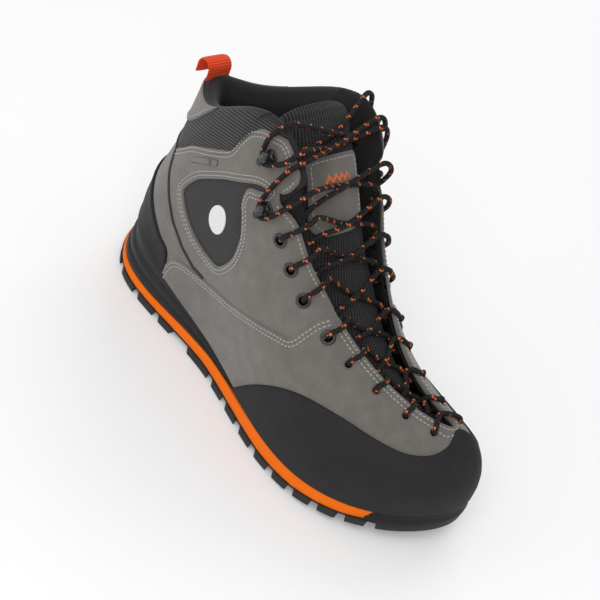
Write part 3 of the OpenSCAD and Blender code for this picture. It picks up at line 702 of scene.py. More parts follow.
WINDOW_FRONT = [(6.44, 0.83), (6.62, 0.775), (6.88, 0.71), (6.81, 0.66), (6.64, 0.63), (6.36, 0.56),
                (6.31, 0.49), (6.55, 0.36), (6.99, 0.32), (7.49, 0.33), (7.88, 0.38), (8.08, 0.43)]
CAP_TOP = [(7.86, 0), (7.9, 0.12), (8.22, 0.17), (8.5, 0.22), (9.11, 0.33), (9.5, 0.37), (10, 0.38)]
RAND_TOP = [(5.05, 0), (4.5, 0.21), (3.87, 0.4), (3.3, 0.52), (2.56, 0.6), (1.9, 0.61), (1.35, 0.6),
            (0.88, 0.63), (0.55, 0.72), (0.21, 0.9), (0, 0.93)]
TAB_LOW = [(8.55, 1), (8.7, 0.95), (9.18, 0.82), (9.54, 0.77), (10, 0.76)]


def round_heel(points):
    """Carries a line that ends at the heel on along the inner side."""
    return points + [(STATIONS - s, h) for s, h in points[-2::-1]]


def round_toe(points):
    return points + [(-s, h) for s, h in points[-2::-1]]


def lace_hole_loops(posts, side=None):
    loops = []
    for s, h in posts:
        radius = (EYELET_BORE + 1.2) / 2 if (s, h) in RINGS else LACE_D / 2 + 0.5
        for k in ((1, -1) if side is None else (side,)):
            loops.append(ring_hole(k * s, h, radius))
    return loops


VAMP_T = 0.95


def make_vamp():
    bottom = [(7.98, 0), (-7.98, 0)]
    throat = [(-3.54, 1), (-2, 1), (0, 1), (2, 1), (3.54, 1)]
    loop = outline(VAMP_TOP, bottom, flip(VAMP_TOP)[::-1], throat)
    obj = panel_mesh("vamp_leather", [loop] + lace_hole_loops(RINGS[-1:] + HOLES), VAMP_T, -1.4)
    return finish_piece(obj, "boot", MATERIALS["suede"], ["vamp"])


def window_loop(side, grow=0.0):
    loop = outline(sided(WINDOW_BACK, side), sided(WINDOW_FRONT, side))
    if grow:
        loop = resample(loop, 1.2, on_wall, closed=True)
        loop = shift(loop, -grow * inward_sign(loop), closed=True)
    return loop


def make_quarter(side, name):
    parts = [UNDER_VAMP, PIPING, CUFF, RIM_LINE, CUFF_FRONT, FLAP, THROAT]
    loop = outline(*[sided(p, side) for p in parts])
    holes = [window_loop(side)] + lace_hole_loops(RINGS[:-1], side)
    obj = panel_mesh(name + "_quarter_leather", [loop] + holes, 0.0, -1.5)
    return finish_piece(obj, "boot", MATERIALS["suede"], [name + "_quarter"])


def make_window(side, name):
    arched = lambda s, h, dist: -1.6 + 0.9 * smoothstep((dist - 2.5) / 7)
    obj = panel_mesh(name + "_window_textile", [window_loop(side, 3)], arched, -2.2, edge=0.5, spacing=1.6)
    return finish_piece(obj, "boot", MATERIALS["window_mesh"], [name + "_window"])


def make_back_strip():
    top = round_heel([(6.3, 0.265)] + PIPING[1:] + [(9.5, 0.645), (10, 0.65)])
    low = round_heel([(6.3, 0.2), (6.9, 0.15), (7.3, 0.12), (7.8, 0.08), (8.3, 0.12), (9.1, 0.27),
                      (10, 0.33)])
    loop = outline(top, [top[-1], low[-1]], low[::-1], [low[0], top[0]])
    obj = panel_mesh("heel_leather", [loop], -0.05, -1.5)
    return finish_piece(obj, "boot", MATERIALS["suede"], ["back_strip"])


def make_heel_cap():
    top = round_heel(CAP_TOP)
    loop = outline(top, [top[-1], top[0]])
    hollow = lambda s, h, dist: 1.5 - 0.9 * smoothstep(dist / 9) * smoothstep((dist - 2) / 6)
    obj = panel_mesh("heel_rubber", [loop], hollow, -0.2, edge=1.4)
    return finish_piece(obj, "boot", MATERIALS["cap"], ["heel_cap"])


def make_rand():
    top = round_toe(RAND_TOP)
    loop = outline(top, [top[-1], top[0]])
    swell = lambda s, h, dist: 2.3 + 0.35 * np.exp(-((dist - 3) / 2.2) ** 2)
    obj = panel_mesh("rand_rubber_sheet", [loop], swell, 0.75, edge=1.1)
    return finish_piece(obj, "boot", MATERIALS["rand"], ["toe_rand"])


# ---- Stitches and piping ----

def frames(points, up):
    """Two directions across a line of 3D points, the first at right angles to up where that is given."""
    t = unit(np.gradient(points, axis=0))
    if up is None:
        side_on = [unit(np.cross(t[0], (0.1, 0.3, 1)))]
        for i in range(1, len(points)):
            v = side_on[-1] - (side_on[-1] @ t[i]) * t[i]
            side_on.append(unit(v))
        side_on = np.array(side_on)
    else:
        side_on = unit(np.cross(up, t))
    return side_on, np.cross(t, side_on)


def tube(points, radius, sides, up=None):
    """Points, faces and UV of a tube; U runs from 0 to 1 round it and V in millimetres along it."""
    points = np.asarray(points, float)
    a, b = frames(points, up)
    n = len(points)
    radius = np.broadcast_to(np.asarray(radius, float), n)
    angle = np.linspace(0, math.tau, sides + 1)
    ring = np.cos(angle)[None, :, None] * a[:, None, :] + np.sin(angle)[None, :, None] * b[:, None, :]
    verts = (points[:, None, :] + radius[:, None, None] * ring)[:, :-1].reshape(-1, 3)
    uv = np.stack([np.tile(angle[:-1] / math.tau, n), np.repeat(running_length(points), sides)], 1)
    return verts, ring_faces(n, sides) + end_faces(n, sides), uv


def join(parts):
    """One set of points, faces and UV from several ones."""
    verts, faces, uv, start = [], [], [], 0
    for v, f, t in parts:
        verts.append(v)
        uv.append(t)
        faces += [tuple(i + start for i in face) for face in f]
        start += len(v)
    return np.vstack(verts), faces, np.vstack(uv)


STITCH_PITCH, STITCH_SHARE, STITCH_R = 2.7, 0.66, 0.42
STITCH_GAPS = (2.2, 4.6)


def stitch(a, b, normal):
    """One rounded stitch between a and b that sinks into the material at its ends."""
    along_it = np.array([-0.5, -0.42, -0.2, 0, 0.2, 0.42, 0.5])
    lift = np.array([-0.5, -0.1, 0.25, 0.32, 0.25, -0.1, -0.5])
    swell = np.array([0.35, 0.8, 1, 1, 1, 0.8, 0.35])
    path = (a + b) / 2 + along_it[:, None] * ((b - a) * STITCH_SHARE) + (lift * STITCH_R)[:, None] * normal
    return tube(path, STITCH_R * swell, 8, np.tile(normal, (len(path), 1)))


def stitch_row(line, depth, closed=False):
    """Parts of a row of stitches on the upper."""
    line = resample(line, STITCH_PITCH, on_wall, closed=closed)
    s, h = line.T
    points = skin(s, h, depth(s, h) if callable(depth) else depth)
    ends = np.roll(points, -1, 0)
    row = list(zip(points, ends, outward(s, h)))
    return [stitch(*place) for place in (row if closed else row[:-1])]


def stitched_rows():
    """All rows of thread on the upper."""
    parts = []
    for side in (1, -1):
        for gap in STITCH_GAPS:
            parts += stitch_row(window_loop(side, gap), 0.05, closed=True)
            parts += stitch_row(inset(sided_line(CUFF + RIM_LINE[1:-1], side), gap), 0.05)
            parts += stitch_row(inset(sided_line(VAMP_TOP[1:], side), gap), VAMP_T)
        for edge in (CUFF_FRONT[1:-1], FLAP[1:] + THROAT[1:-1]):
            parts += stitch_row(inset(sided_line(edge, side), STITCH_GAPS[0]), 0.05)
    throat = curve_through([(-3.45, 1), (-2, 1), (0, 1), (2, 1), (3.45, 1)], 0.03)
    for gap in (2.2, 4.8):
        parts += stitch_row(inset(throat, gap), VAMP_T)
    return parts


def sided_line(points, side):
    return curve_through(sided(points, side), 0.03)


def inset(line, gap, upwards=False):
    """Moves a line towards the middle of its panel: below a top edge, or upwards from a lower one."""
    line = resample(line, 1.5, on_wall)
    a, b = shift(line, gap), shift(line, -gap)
    return a if (a[:, 1].mean() < b[:, 1].mean()) != upwards else b


def make_stitches():
    obj = make_mesh("upper_stitching", *join(stitched_rows()))
    return finish_piece(obj, "boot", MATERIALS["stitch"])


def make_piping():
    """Corded seams between the quarters and the heel leather."""
    line = resample(round_heel([(6.85, 0.225)] + PIPING[2:] + [(9.5, 0.645), (10, 0.65)]), 1.6, on_wall)
    line = resample(curve_through(line, 0.03), 1.6, on_wall)
    points = skin(line[:, 0], line[:, 1], 0.15)
    obj = make_mesh("seam_piping", *tube(points, 0.95, 10))
    return finish_piece(obj, "boot", MATERIALS["piping"])


# ---- Marks and tags ----

CORNER_SHARE = 0.16


def plate(name, side, corners, top, bottom):
    """Panel with four corners on the upper, each rounded by a short curve."""
    loop = np.array(sided(corners, side), float)
    smooth = []
    for a, b, c in zip(np.roll(loop, 1, 0), loop, np.roll(loop, -1, 0)):
        start, end = b + (a - b) * CORNER_SHARE, b + (c - b) * CORNER_SHARE
        for t in np.linspace(0, 1, 5):
            smooth.append((1 - t) ** 2 * start + 2 * t * (1 - t) * b + t * t * end)
    return panel_mesh(name, [np.array(smooth)], top, bottom, edge=0.35, grid=1.6, spacing=0.8)


TAG = [(8.37, 0.645), (7.73, 0.695), (7.68, 0.662), (8.3, 0.612)]


def make_tag(side, name):
    """Pressed rectangle with a smaller square at its front end."""
    a, b, c, d = (np.array(p) for p in TAG)
    cut = 0.78
    main = [a, a + (b - a) * (cut - 0.04), d + (c - d) * (cut - 0.04), d]
    square = [a + (b - a) * cut, b, c, d + (c - d) * cut]
    back = plate(name + "_tag_base", side, TAG, 0.3, 0.05)
    finish_piece(back, "boot", MATERIALS["tag"], [name + "_tag"])
    for k, corners in enumerate((main, square)):
        middle = sum(corners) / 4
        inner = [middle + (p - middle) * (0.86 if k else 0.93, 0.8) for p in corners]
        top = plate(f"{name}_tag_panel_{k + 1}", side, inner, 0.85, 0.2)
        finish_piece(top, "boot", MATERIALS["suede"])


BADGE_AT, BADGE_HALF = (7.1, 0.49), (0.24, 0.06)


def make_badge(side, name):
    """Plain oval mark on the window."""
    angle = np.linspace(0, math.tau, 48, endpoint=False)
    loop = np.stack([side * (BADGE_AT[0] + BADGE_HALF[0] * np.cos(angle)),
                     BADGE_AT[1] + BADGE_HALF[1] * np.sin(angle)], 1)
    obj = panel_mesh(name + "_badge_film", [loop], 0.05, -0.75, edge=0.35, grid=1.6, spacing=0.8)
    return finish_piece(obj, "boot", MATERIALS["badge"], [name + "_badge"])


# ---- Eyelets and hooks ----

def place_on_skin(s, h, points, d=0.0):
    """Turns points with +Z out of the surface and +X up it, and puts them at a point of the upper."""
    n, up = outward(s, h), tangents(s, h)[1]
    x = unit(up - (up @ n) * n)
    return skin(s, h, d) + points @ np.array([x, np.cross(n, x), n])


def lathe(profile, sides=40):
    """Turned part from pairs of radius and height; the profile is a closed loop off the axis."""
    p = np.array(profile, float)
    angle = np.linspace(0, math.tau, sides, endpoint=False)
    verts = np.stack([np.outer(np.cos(angle), p[:, 0]), np.outer(np.sin(angle), p[:, 0]),
                      np.tile(p[:, 1], (sides, 1))], 2).reshape(-1, 3)
    n = len(p)
    faces = [(i * n + j, ((i + 1) % sides) * n + j, ((i + 1) % sides) * n + (j + 1) % n, i * n + (j + 1) % n)
             for i in range(sides) for j in range(n)]
    return verts, faces


def solid_lathe(profile, sides=32):
    """Turned part whose profile starts and ends on the axis."""
    p = np.array(profile, float)
    verts, faces = lathe(p[1:-1], sides)
    n = len(p) - 2
    faces = [f for f in faces if not ({f[0] % n, f[3] % n} == {0, n - 1} and n > 2)]
    verts = np.vstack([verts, [(0, 0, p[0, 1]), (0, 0, p[-1, 1])]])
    bottom, top = sides * n, sides * n + 1
    for i in range(sides):
        k = (i + 1) % sides
        faces.append((bottom, k * n, i * n))
        faces.append((top, i * n + n - 1, k * n + n - 1))
    return verts, faces


def arc(cx, cz, radius, start, end, n):
    """n points of an arc from one angle to another, in degrees."""
    angle = np.radians(np.linspace(start, end, n))
    return [(cx + radius * math.cos(a), cz + radius * math.sin(a)) for a in angle]


def make_eyelet(side, i, name):
    """Ring with a rolled flange, a barrel through the leather and a clenched back."""
    s, h = RINGS[i]
    bore, rim = EYELET_BORE / 2, EYELET_D / 2
    base = VAMP_T if i == len(RINGS) - 1 else 0.0
    low = base - 2.6
    profile = (arc(bore + 0.75, base + 0.35, 0.75, 180, 75, 8) + arc(rim - 0.35, base + 0.3, 0.38, 70, -90, 7)
               + [(bore + 0.5, base + 0.05), (bore + 0.45, low + 0.5), (bore + 1.3, low + 0.3),
                  (bore + 1.2, low), (bore + 0.1, low)])
    verts, faces = lathe(profile)
    obj = make_mesh(name, place_on_skin(side * s, h, verts), faces, flat_above=50)
    return finish_piece(obj, "boot", MATERIALS["eyelet"], [name])


def ball(centre, size):
    """Points, faces and UV of an egg shape."""
    z = [(0, -1)] + arc(0, 0, 1, -90, 90, 11)[1:-1] + [(0, 1)]
    verts, faces = solid_lathe(z, 20)
    verts = verts * np.array(size) + np.array(centre)
    return verts, faces, np.zeros((len(verts), 2))


def make_hook(side, i, name):
    """Riveted lace hook: rounded plate, waisted neck and a head with two knobs, one above the other."""
    s, h = HOOKS[i]
    top = HOOK_REACH
    profile = ([(0, 0.1), (4.6, 0.1)] + arc(4.5, 0.7, 0.5, -60, 80, 6) + [(3.2, 1.35)]
               + arc(3.3, 2.6, 1.3, 250, 180, 5) + [(2.0, top - 2.6)] + arc(2.6, top - 2, 0.6, 180, 100, 4)
               + [(2.9, top - 1.3), (2.5, top - 0.4), (1.4, top), (0, top + 0.1)])
    verts, faces = solid_lathe(profile)
    knobs = [ball((x, 0, top - 0.7), (2.3, 2.3, 1.75)) for x in (-3.1, 3.1)]
    neck = tube(np.array([(x, 0, top - 0.8) for x in (-3, -1.5, 0, 1.5, 3)], float), 1.3, 16)
    verts, faces, _ = join([(verts, faces, np.zeros((len(verts), 2)))] + knobs + [neck])
    obj = make_mesh(name, place_on_skin(side * s, h, verts, 0.05), faces, flat_above=45)
    return finish_piece(obj, "boot", MATERIALS["hook"], [name])


# ---- Tongue ----

TONGUE_HALF = [(0.8, 8.5), (0.9, 9), (2, 14), (3, 20), (4, 26), (5, 26), (6, 23), (6.7, 23.5),
               (7.2, 27)]
TONGUE_BEND, TONGUE_RISE = 6.6, 25


def throat_mid(s):
    return (along(3, s) + along(3, -np.asarray(s, float))) / 2


def tongue_mid(s):
    """Middle line of the tongue: it follows the throat, then runs on straight to its free end."""
    bend = throat_mid(TONGUE_BEND)
    way = unit(bend - throat_mid(TONGUE_BEND - 0.1))
    beyond = np.maximum(s - TONGUE_BEND, 0) * TONGUE_RISE
    return throat_mid(np.minimum(s, TONGUE_BEND)) + beyond[..., None] * way


def tongue_point(s, w, d):
    """Point of the tongue: w from -1 on the inner side to 1 on the outer side, d above its face."""
    s, w, d = np.broadcast_arrays(np.asarray(s, float), np.asarray(w, float), np.asarray(d, float))
    t = unit(tongue_mid(s + 0.05) - tongue_mid(s - 0.05))
    inward = unit(np.stack([-t[..., 2], np.zeros_like(s), t[..., 0]], -1))
    across = np.stack([np.zeros_like(s), -w * lookup(s, TONGUE_HALF), np.zeros_like(s)], -1)
    return tongue_mid(s) + across + (TONGUE_DROP - d + ARCH * w**2)[..., None] * inward


TONGUE_FROM, TONGUE_TO, TONGUE_ROUND = 0.8, 7.65, 0.4
TONGUE_THICK, TONGUE_CROWN = 7.4, 0.9
RIB_PITCH, RIBS_FROM = 0.2, 6.55


def tongue_section(n=40):
    """Loop of (w, d) pairs round the tongue: crowned face, rounded edges and flat back."""
    angle = np.linspace(0, math.tau, n, endpoint=False)
    c, z = np.cos(angle), np.sin(angle)
    w = np.sign(c) * np.abs(c) ** 0.55
    half = TONGUE_THICK / 2
    d = -half + half * np.sign(z) * np.abs(z) ** 0.45 + TONGUE_CROWN * (1 - np.abs(c)) * (z > 0)
    return w, d


def tongue_ring(s, w, d):
    """The section's points at s: thinner and narrower towards the free end, with ribs on its top part."""
    over = np.clip((s - TONGUE_TO + TONGUE_ROUND) / TONGUE_ROUND, 0, 0.985)
    middle = -TONGUE_THICK / 2
    rib = 0.25 * math.sin(math.tau * s / RIB_PITCH) * float(smoothstep((s - RIBS_FROM) / RIB_PITCH))
    thin = middle + (d - middle) * (0.35 + 0.65 * (1 - over**2) ** 0.5)
    return tongue_point(s, w * (1 - over**3) ** (1 / 3), thin + rib * (d > -1))


def make_tongue():
    """Padded tongue with a rounded top and a ribbed face."""
    cols = np.concatenate([np.linspace(TONGUE_FROM, TONGUE_TO - TONGUE_ROUND, 96),
                           TONGUE_TO - TONGUE_ROUND * (1 - np.sin(np.linspace(0.12, 1, 10) * math.pi / 2))])
    w, d = tongue_section()
    n = len(w)
    verts = np.vstack([tongue_ring(s, w, d) for s in cols])
    uv = np.stack([verts[:, 1], np.repeat(running_length(tongue_mid(cols)), n)], 1)
    faces = section_faces(len(cols), n)
    obj = make_mesh("tongue_body", verts, faces, uv, flat_above=60)
    finish_piece(obj, "tongue", MATERIALS["tongue_mesh"],
                 ["tongue_shell", "tongue_padding", "tongue_lining"])
    return obj


PATCH_FROM, PATCH_TO, PATCH_HALF = 5.12, 6.45, 0.84
PATCH_TOP_CORNER, PATCH_LOW_CORNER = (0.1, 0.14), (0.3, 0.45)
PATCH_BASE, PATCH_FACE = 0.35, 1.55
MOTIF_S, MOTIF_HALF, ZIGZAG = 6.1, 0.4, 0.2


def patch_outline(gap):
    """Closed line of (s, w) round the patch, moved in by a gap in millimetres."""
    ds, dw = gap / 27, gap / 24
    s0, s1, w1 = PATCH_FROM + ds, PATCH_TO - ds, PATCH_HALF - dw
    corners = ((s1, w1, -1, -1, 0, PATCH_TOP_CORNER), (s0, w1, 1, -1, 90, PATCH_LOW_CORNER),
               (s0, -w1, 1, 1, 180, PATCH_LOW_CORNER), (s1, -w1, -1, 1, 270, PATCH_TOP_CORNER))
    arcs = []
    for s, w, to_s, to_w, start, (rs, rw) in corners:
        turn = np.radians(np.linspace(start, start + 90, 8))
        arcs.append(np.stack([s + to_s * rs + rs * np.cos(turn), w + to_w * rw + rw * np.sin(turn)], 1))
    out = []
    for i, bend in enumerate(arcs):
        share = np.linspace(0, 1, 10)[1:-1, None]
        out += [bend, bend[-1] + (arcs[(i + 1) % 4][0] - bend[-1]) * share]
    return np.vstack(out)


def patch_point(s, w, d):
    """Point of the tongue with d above the crown under the patch."""
    return tongue_point(s, w, d + 0.9 * (1 - np.abs(w)))


def make_patch():
    """Suede patch on the tongue, with a rounded edge."""
    edge = ((0, PATCH_BASE), (0, 0.9), (0.25, 1.25), (0.7, 1.5), (1.5, PATCH_FACE))
    levels = [(patch_outline(gap), d) for gap, d in edge]
    base = levels[-1][0]
    centre = base.mean(0)
    levels += [(centre + (base - centre) * share, PATCH_FACE) for share in (0.8, 0.6, 0.4, 0.2)]
    verts = [patch_point(ring[:, 0], ring[:, 1], d) for ring, d in levels]
    verts += [patch_point(*centre, d)[None] for d in (PATCH_FACE, PATCH_BASE)]
    n = len(base)
    last, tip, low = (len(levels) - 1) * n, len(levels) * n, len(levels) * n + 1
    faces = ring_faces(len(levels), n) + [(last + k, last + (k + 1) % n, tip) for k in range(n)]
    faces += [((k + 1) % n, k, low) for k in range(n)]
    obj = make_mesh("tongue_patch_suede", np.vstack(verts), faces)
    return finish_piece(obj, "tongue", MATERIALS["suede"], ["tongue_patch"])


def make_patch_stitches():
    """Row of thread inside the patch's edge."""
    line = resample(patch_outline(2.2), 2.9, lambda p: tongue_point(p[:, 0], p[:, 1], 1.5), closed=True)
    at = patch_point(line[:, 0], line[:, 1], 1.6)
    above = patch_point(line[:, 0], line[:, 1], 3)
    parts = []
    for a, b, over in zip(at, np.roll(at, -1, 0), above):
        up = unit(over - a)
        path = (a + b) / 2 + np.array([-0.5, -0.4, 0, 0.4, 0.5])[:, None] * (b - a) * 0.74
        path = path + np.array([-0.2, 0, 0.12, 0, -0.2])[:, None] * up
        parts.append(tube(path, 0.4 * np.array([0.4, 0.9, 1, 0.9, 0.4]), 8, np.tile(up, (5, 1))))
    obj = make_mesh("tongue_patch_stitching", *join(parts))
    return finish_piece(obj, "tongue", MATERIALS["stitch"])


def make_motif():
    """Plain zigzag of embroidery on the patch, in short stitches along the tongue."""
    rows = []
    for w in np.linspace(-MOTIF_HALF, MOTIF_HALF, 57):
        peak = abs(((w + MOTIF_HALF) / ZIGZAG) % 1 - 0.5) * 2
        s = MOTIF_S - 0.1 * peak + np.linspace(-0.03, 0.03, 5)
        rows.append(tube(patch_point(s, w, 1.6 + np.array([-0.15, 0.12, 0.2, 0.12, -0.15])), 0.34, 8))
    obj = make_mesh("tongue_embroidery", *join(rows))
    return finish_piece(obj, "tongue", MATERIALS["motif"], ["tongue_motif"])


# ---- Lace: the same route as the CAD's ----

INSIDE = LINING_IN - LACE_R - 0.6
HOOK_AWAY = 3.8
CROSSING = LACE_D + 0.5
LAST_POST = len(POSTS) - 1
AGLET_LEN = 20


def lie(s):
    """Height of the lower strand's middle above the face of the tongue."""
    return LACE_R + 0.4 + float(lookup(s, [(4.6, 0), (4.9, 1.8)]))


def over_edge(s, side, out=LACE_R + 0.8):
    return [skin(side * s, 1.05, -2.5), skin(side * s, 1.03, 1), skin(side * s, 0.97, out)]


def through(p, side):
    """In through hole or ring p, and back under the edge."""
    return [skin(side * p[0], p[1] + 0.03, LACE_R + 1.2), skin(side * p[0], p[1], SUEDE_IN),
            skin(side * p[0], p[1] + 0.03, INSIDE), skin(side * (p[0] + 0.1), 1, INSIDE)]


def beside_neck(p, side, angle):
    s, e = side * p[0], 0.05
    up = unit(wall(s, p[1] + e) - wall(s, p[1] - e))
    to_toe = side * unit(wall(s - e, p[1]) - wall(s + e, p[1]))
    reach = HOOK_NECK_D / 2 + LACE_R + 0.8
    a = math.radians(angle)
    return skin(s, p[1], HOOK_REACH / 2 - 0.2) + reach * (math.cos(a) * to_toe + math.sin(a) * up)


def hold(i, side):
    p = POSTS[i]
    if i < len(HOOKS):
        return (over_edge(p[0] - 0.28, side, HOOK_AWAY) + [beside_neck(p, side, a) for a in (0, -90, -180)]
                + over_edge(p[0] + 0.22, side, HOOK_AWAY)[::-1])
    return (over_edge(p[0] - 0.1, side) if i < LAST_POST else []) + through(p, side)


def strand(side, lift):
    """One strand from the bottom bar up the posts, with its end tucked down beside the tongue."""
    out = []
    for i in range(LAST_POST, -1, -1):
        out += hold(i, side if (LAST_POST - i) % 2 == 0 else -side)
        if i > 0:
            s = (POSTS[i][0] + POSTS[i - 1][0]) / 2
            out.append(tongue_point(s, 0, lie(s) + ((i + lift) % 2) * CROSSING))
    s, far = POSTS[0][0], -side if LAST_POST % 2 == 0 else side
    end = [(0.1, 0, lie(s) + lift * CROSSING), (0.25, far * 0.8, LACE_R + 1), (0.3, far * 1.17, 1),
           (0.35, far * 1.18, -7)]
    return out + [tongue_point(s - back, w, d) for back, w, d in end]


def make_lace():
    """Braided cord and its two end tips."""
    s = POSTS[LAST_POST][0]
    bar = (wall(s, 1) + wall(-s, 1)) / 2 + (0, 0, LACE_R + 1)
    route = np.array(strand(1, 0)[::-1] + [bar] + strand(-1, 1))
    line = resample(curve_through(route, 0.8), 1.3)
    obj = make_mesh("lace_cord", *tube(line, LACE_R, 14))
    finish_piece(obj, "boot", MATERIALS["lace"], ["lace"])
    for k, (tip, before) in enumerate(((route[0], route[1]), (route[-1], route[-2]))):
        way = unit(tip - before)
        reach = np.array([-1.5, -1.2, 0, 0.5, AGLET_LEN - 1.5, AGLET_LEN - 0.4, AGLET_LEN])
        radius = LACE_D * 0.45 * np.array([0.9, 1.05, 1.08, 1, 1, 0.8, 0.45])
        end = make_mesh(f"lace_end_{k + 1}", *tube(tip + reach[:, None] * way, radius, 20), flat_above=50)
        finish_piece(end, "boot", MATERIALS["aglet"], [f"aglet_{k + 1}"])


# ---- Collar and lining ----

PAD_FROM = 6.8
COLLAR_FROM, COLLAR_SAMPLES = 6.15, 72


def pad(s, h):
    """Thickness of the collar's padding."""
    return (7 * lookup(from_toe(s), [(PAD_FROM, 0), (PAD_FROM + 0.8, 1)])
            * lookup(h, [(0.55, 0), (0.72, 1), (0.9, 1), (1, 0.7)]))


def collar_low(s):
    """Lower edge of the collar's outer face, tucked under the quarter."""
    return lookup(from_toe(s), [(6.9, 0.985), (7.16, 0.955), (7.4, 0.92), (7.52, 0.85), (7.6, 0.75),
                                (7.9, 0.72), (8.2, 0.7), (8.6, 0.69), (9.1, 0.6), (10, 0.6)])


def collar_bulge(s, h):
    """How far the padded mesh stands out from the upper's outer face."""
    low = collar_low(s)
    share = np.clip((h - low) / np.maximum(1 - low, 0.01), 0, 1)
    puff = 2.3 * np.clip((1 - low) / 0.25, 0, 1)
    return -0.9 + puff * np.sin(math.pi * np.clip(share * 0.92 + 0.02, 0, 1)) ** 0.6


def collar_section(s):
    """Loop of (h, d) pairs: up the outer face, over the rim and down the padded inner face."""
    t = float(from_toe(s))
    open_side = float(smoothstep((t - 6.85) / 0.3))
    low = float(collar_low(s)) if open_side > 0 else 0.97
    low = 0.972 + (low - 0.972) * open_side
    depth = 2.5 + float(pad(s, 0.8)) * 1.06
    pleat = 0.5 * math.cos(math.tau * s / 0.3) * float(smoothstep((t - 8.7) / 0.5))
    outer = [(h, float(collar_bulge(s, h)) * open_side - 1.55 * (1 - open_side))
             for h in np.linspace(low, 0.985, 7)]
    rim_out = outer[-1][1]
    inner_d = LINING_IN + 0.4 - float(pad(s, 0.97)) * 1.05
    top = [(1.012, rim_out - 0.25 * depth), (1.022, (rim_out + inner_d) / 2), (1.008, inner_d + 0.12 * depth),
           (0.975, inner_d - 0.3)]
    inner = [(h, LINING_IN - 0.5 - float(pad(s, h)) * 1.12 + pleat * math.sin(math.pi * (h - 0.58) / 0.4))
             for h in (0.93, 0.88, 0.82, 0.75, 0.68, 0.62)]
    end = [(0.57, LINING_IN + 0.1), (0.57, -2.6)]
    back = [(0.6 + (low - 0.6) * k / 5, -2.2) for k in range(1, 5)] + [(low, -1.9)]
    return np.array(outer + top + inner + end + back)


def make_collar():
    """Padded collar: mesh outside, textile inside, one crowned roll from side to side."""
    cols = np.arange(COLLAR_FROM, STATIONS - COLLAR_FROM + 0.001, 0.05)
    n = COLLAR_SAMPLES
    verts, uv, depth = [], [], []
    for s in cols:
        section = collar_section(s) * (FLAT_H, 1)
        ring = even_loop(curve_through(np.vstack([section, section[:1]]), 1.2), n)
        h, d = ring[:, 0] / FLAT_H, ring[:, 1]
        verts.append(skin(s, h, d))
        depth.append(d)
        uv.append(flat(np.full(n, s), np.clip(h, 0, 1.09)) + np.stack([np.zeros(n), -np.minimum(d, 0)], 1))
    faces = section_faces(len(cols), n)
    obj = make_mesh("collar_roll", np.vstack(verts), faces, np.vstack(uv))
    inside = obj.data.attributes.new("inside", "FLOAT", "POINT")
    inside.data.foreach_set("value", smoothstep((-1.1 - np.concatenate(depth)) / 0.8).astype(np.float32))
    finish_piece(obj, "boot", MATERIALS["collar_mesh"], ["collar_band", "collar_padding"])
    return obj


def make_lining():
    """Textile inside the boot, from the footbed to the throat and the collar."""
    cols = np.arange(0, STATIONS, 0.1)
    heights = np.concatenate([np.linspace(0.01, 0.9, 34), np.linspace(0.925, 0.972, 4)])
    n = len(heights)
    grid_s, grid_h = np.meshgrid(cols, heights, indexing="ij")
    s, h = grid_s.ravel(), grid_h.ravel()
    top_roll = np.where(h > 0.95, 0.3, 0)
    outer = skin(s, h, -3.1 - pad(s, h))
    inner = skin(s, h, LINING_IN + 0.1 - pad(s, h) + top_roll)
    verts = np.vstack([inner, outer])
    faces = []
    count = len(cols)
    for i in range(count):
        k = (i + 1) % count
        for j in range(n - 1):
            a, b, c, d = i * n + j, k * n + j, k * n + j + 1, i * n + j + 1
            faces.append((a, d, c, b))
            faces.append(tuple(len(s) + v for v in (a, b, c, d)))
        faces.append((i * n, k * n, len(s) + k * n, len(s) + i * n))
        t = n - 1
        faces.append((i * n + t, len(s) + i * n + t, len(s) + k * n + t, k * n + t))
    uv = flat(s, h)
    obj = make_mesh("boot_lining", verts, faces, np.vstack([uv, uv]))
    return finish_piece(obj, "boot", MATERIALS["lining"], ["lining"])


def make_back_tab():
    top = [(STATIONS - 8.55, 1), (10, 1.0), (8.55, 1)]
    loop = outline(round_heel(TAB_LOW), top)
    raised = lambda s, h, dist: collar_bulge(s, h) + 1.3
    under = lambda s, h, dist: collar_bulge(s, h) + 0.1
    obj = panel_mesh("back_tab_suede", [loop], raised, under, edge=0.8)
    finish_piece(obj, "boot", MATERIALS["suede"], ["back_tab"])
    line = inset(curve_through(round_heel(TAB_LOW)[1:-1], 0.03), 2.2, upwards=True)
    row = make_mesh("back_tab_stitching", *join(stitch_row(line, lambda s, h: collar_bulge(s, h) + 1.35)))
    return finish_piece(row, "boot", MATERIALS["stitch"])


LOOP_W, LOOP_T, LOOP_H, LOOP_GAP = 18, 1.6, 12.4, 9


def make_pull_loop():
    """Webbing bent into an upside-down U over the rim at the heel."""
    top = wall(10, 1) + (0, 0, 0.6)
    half = (LOOP_GAP + LOOP_T) / 2
    straight = LOOP_H - LOOP_T / 2 - half
    line = [(-half, straight * k / 6) for k in range(7)]
    line += [(-half * math.cos(a), straight + half * math.sin(a)) for a in np.linspace(0, math.pi, 20)[1:-1]]
    line += [(half, straight * (6 - k) / 6) for k in range(7)]
    line = np.array(line)
    t = unit(np.gradient(line, axis=0))
    normal = np.stack([-t[:, 1], t[:, 0]], 1)
    cross = [(y * LOOP_W / 2, max(math.sqrt(1 - abs(y) ** 8) * LOOP_T / 2, 0.25))
             for y in np.linspace(-1, 1, 13)]
    section = cross + [(y, -z) for y, z in cross[::-1]]
    verts, uv = [], []
    for (x, z), n, along_it in zip(line, normal, running_length(line)):
        for y, lift in section:
            verts.append(top + (x + n[0] * lift, y, z + n[1] * lift))
            uv.append((y, along_it))
    faces = ring_faces(len(line), len(section)) + end_faces(len(line), len(section))
    obj = make_mesh("webbing_loop", verts, faces, uv, flat_above=60)
    return finish_piece(obj, "loop", MATERIALS["webbing"], ["pull_loop"])


# ---- Sole ----

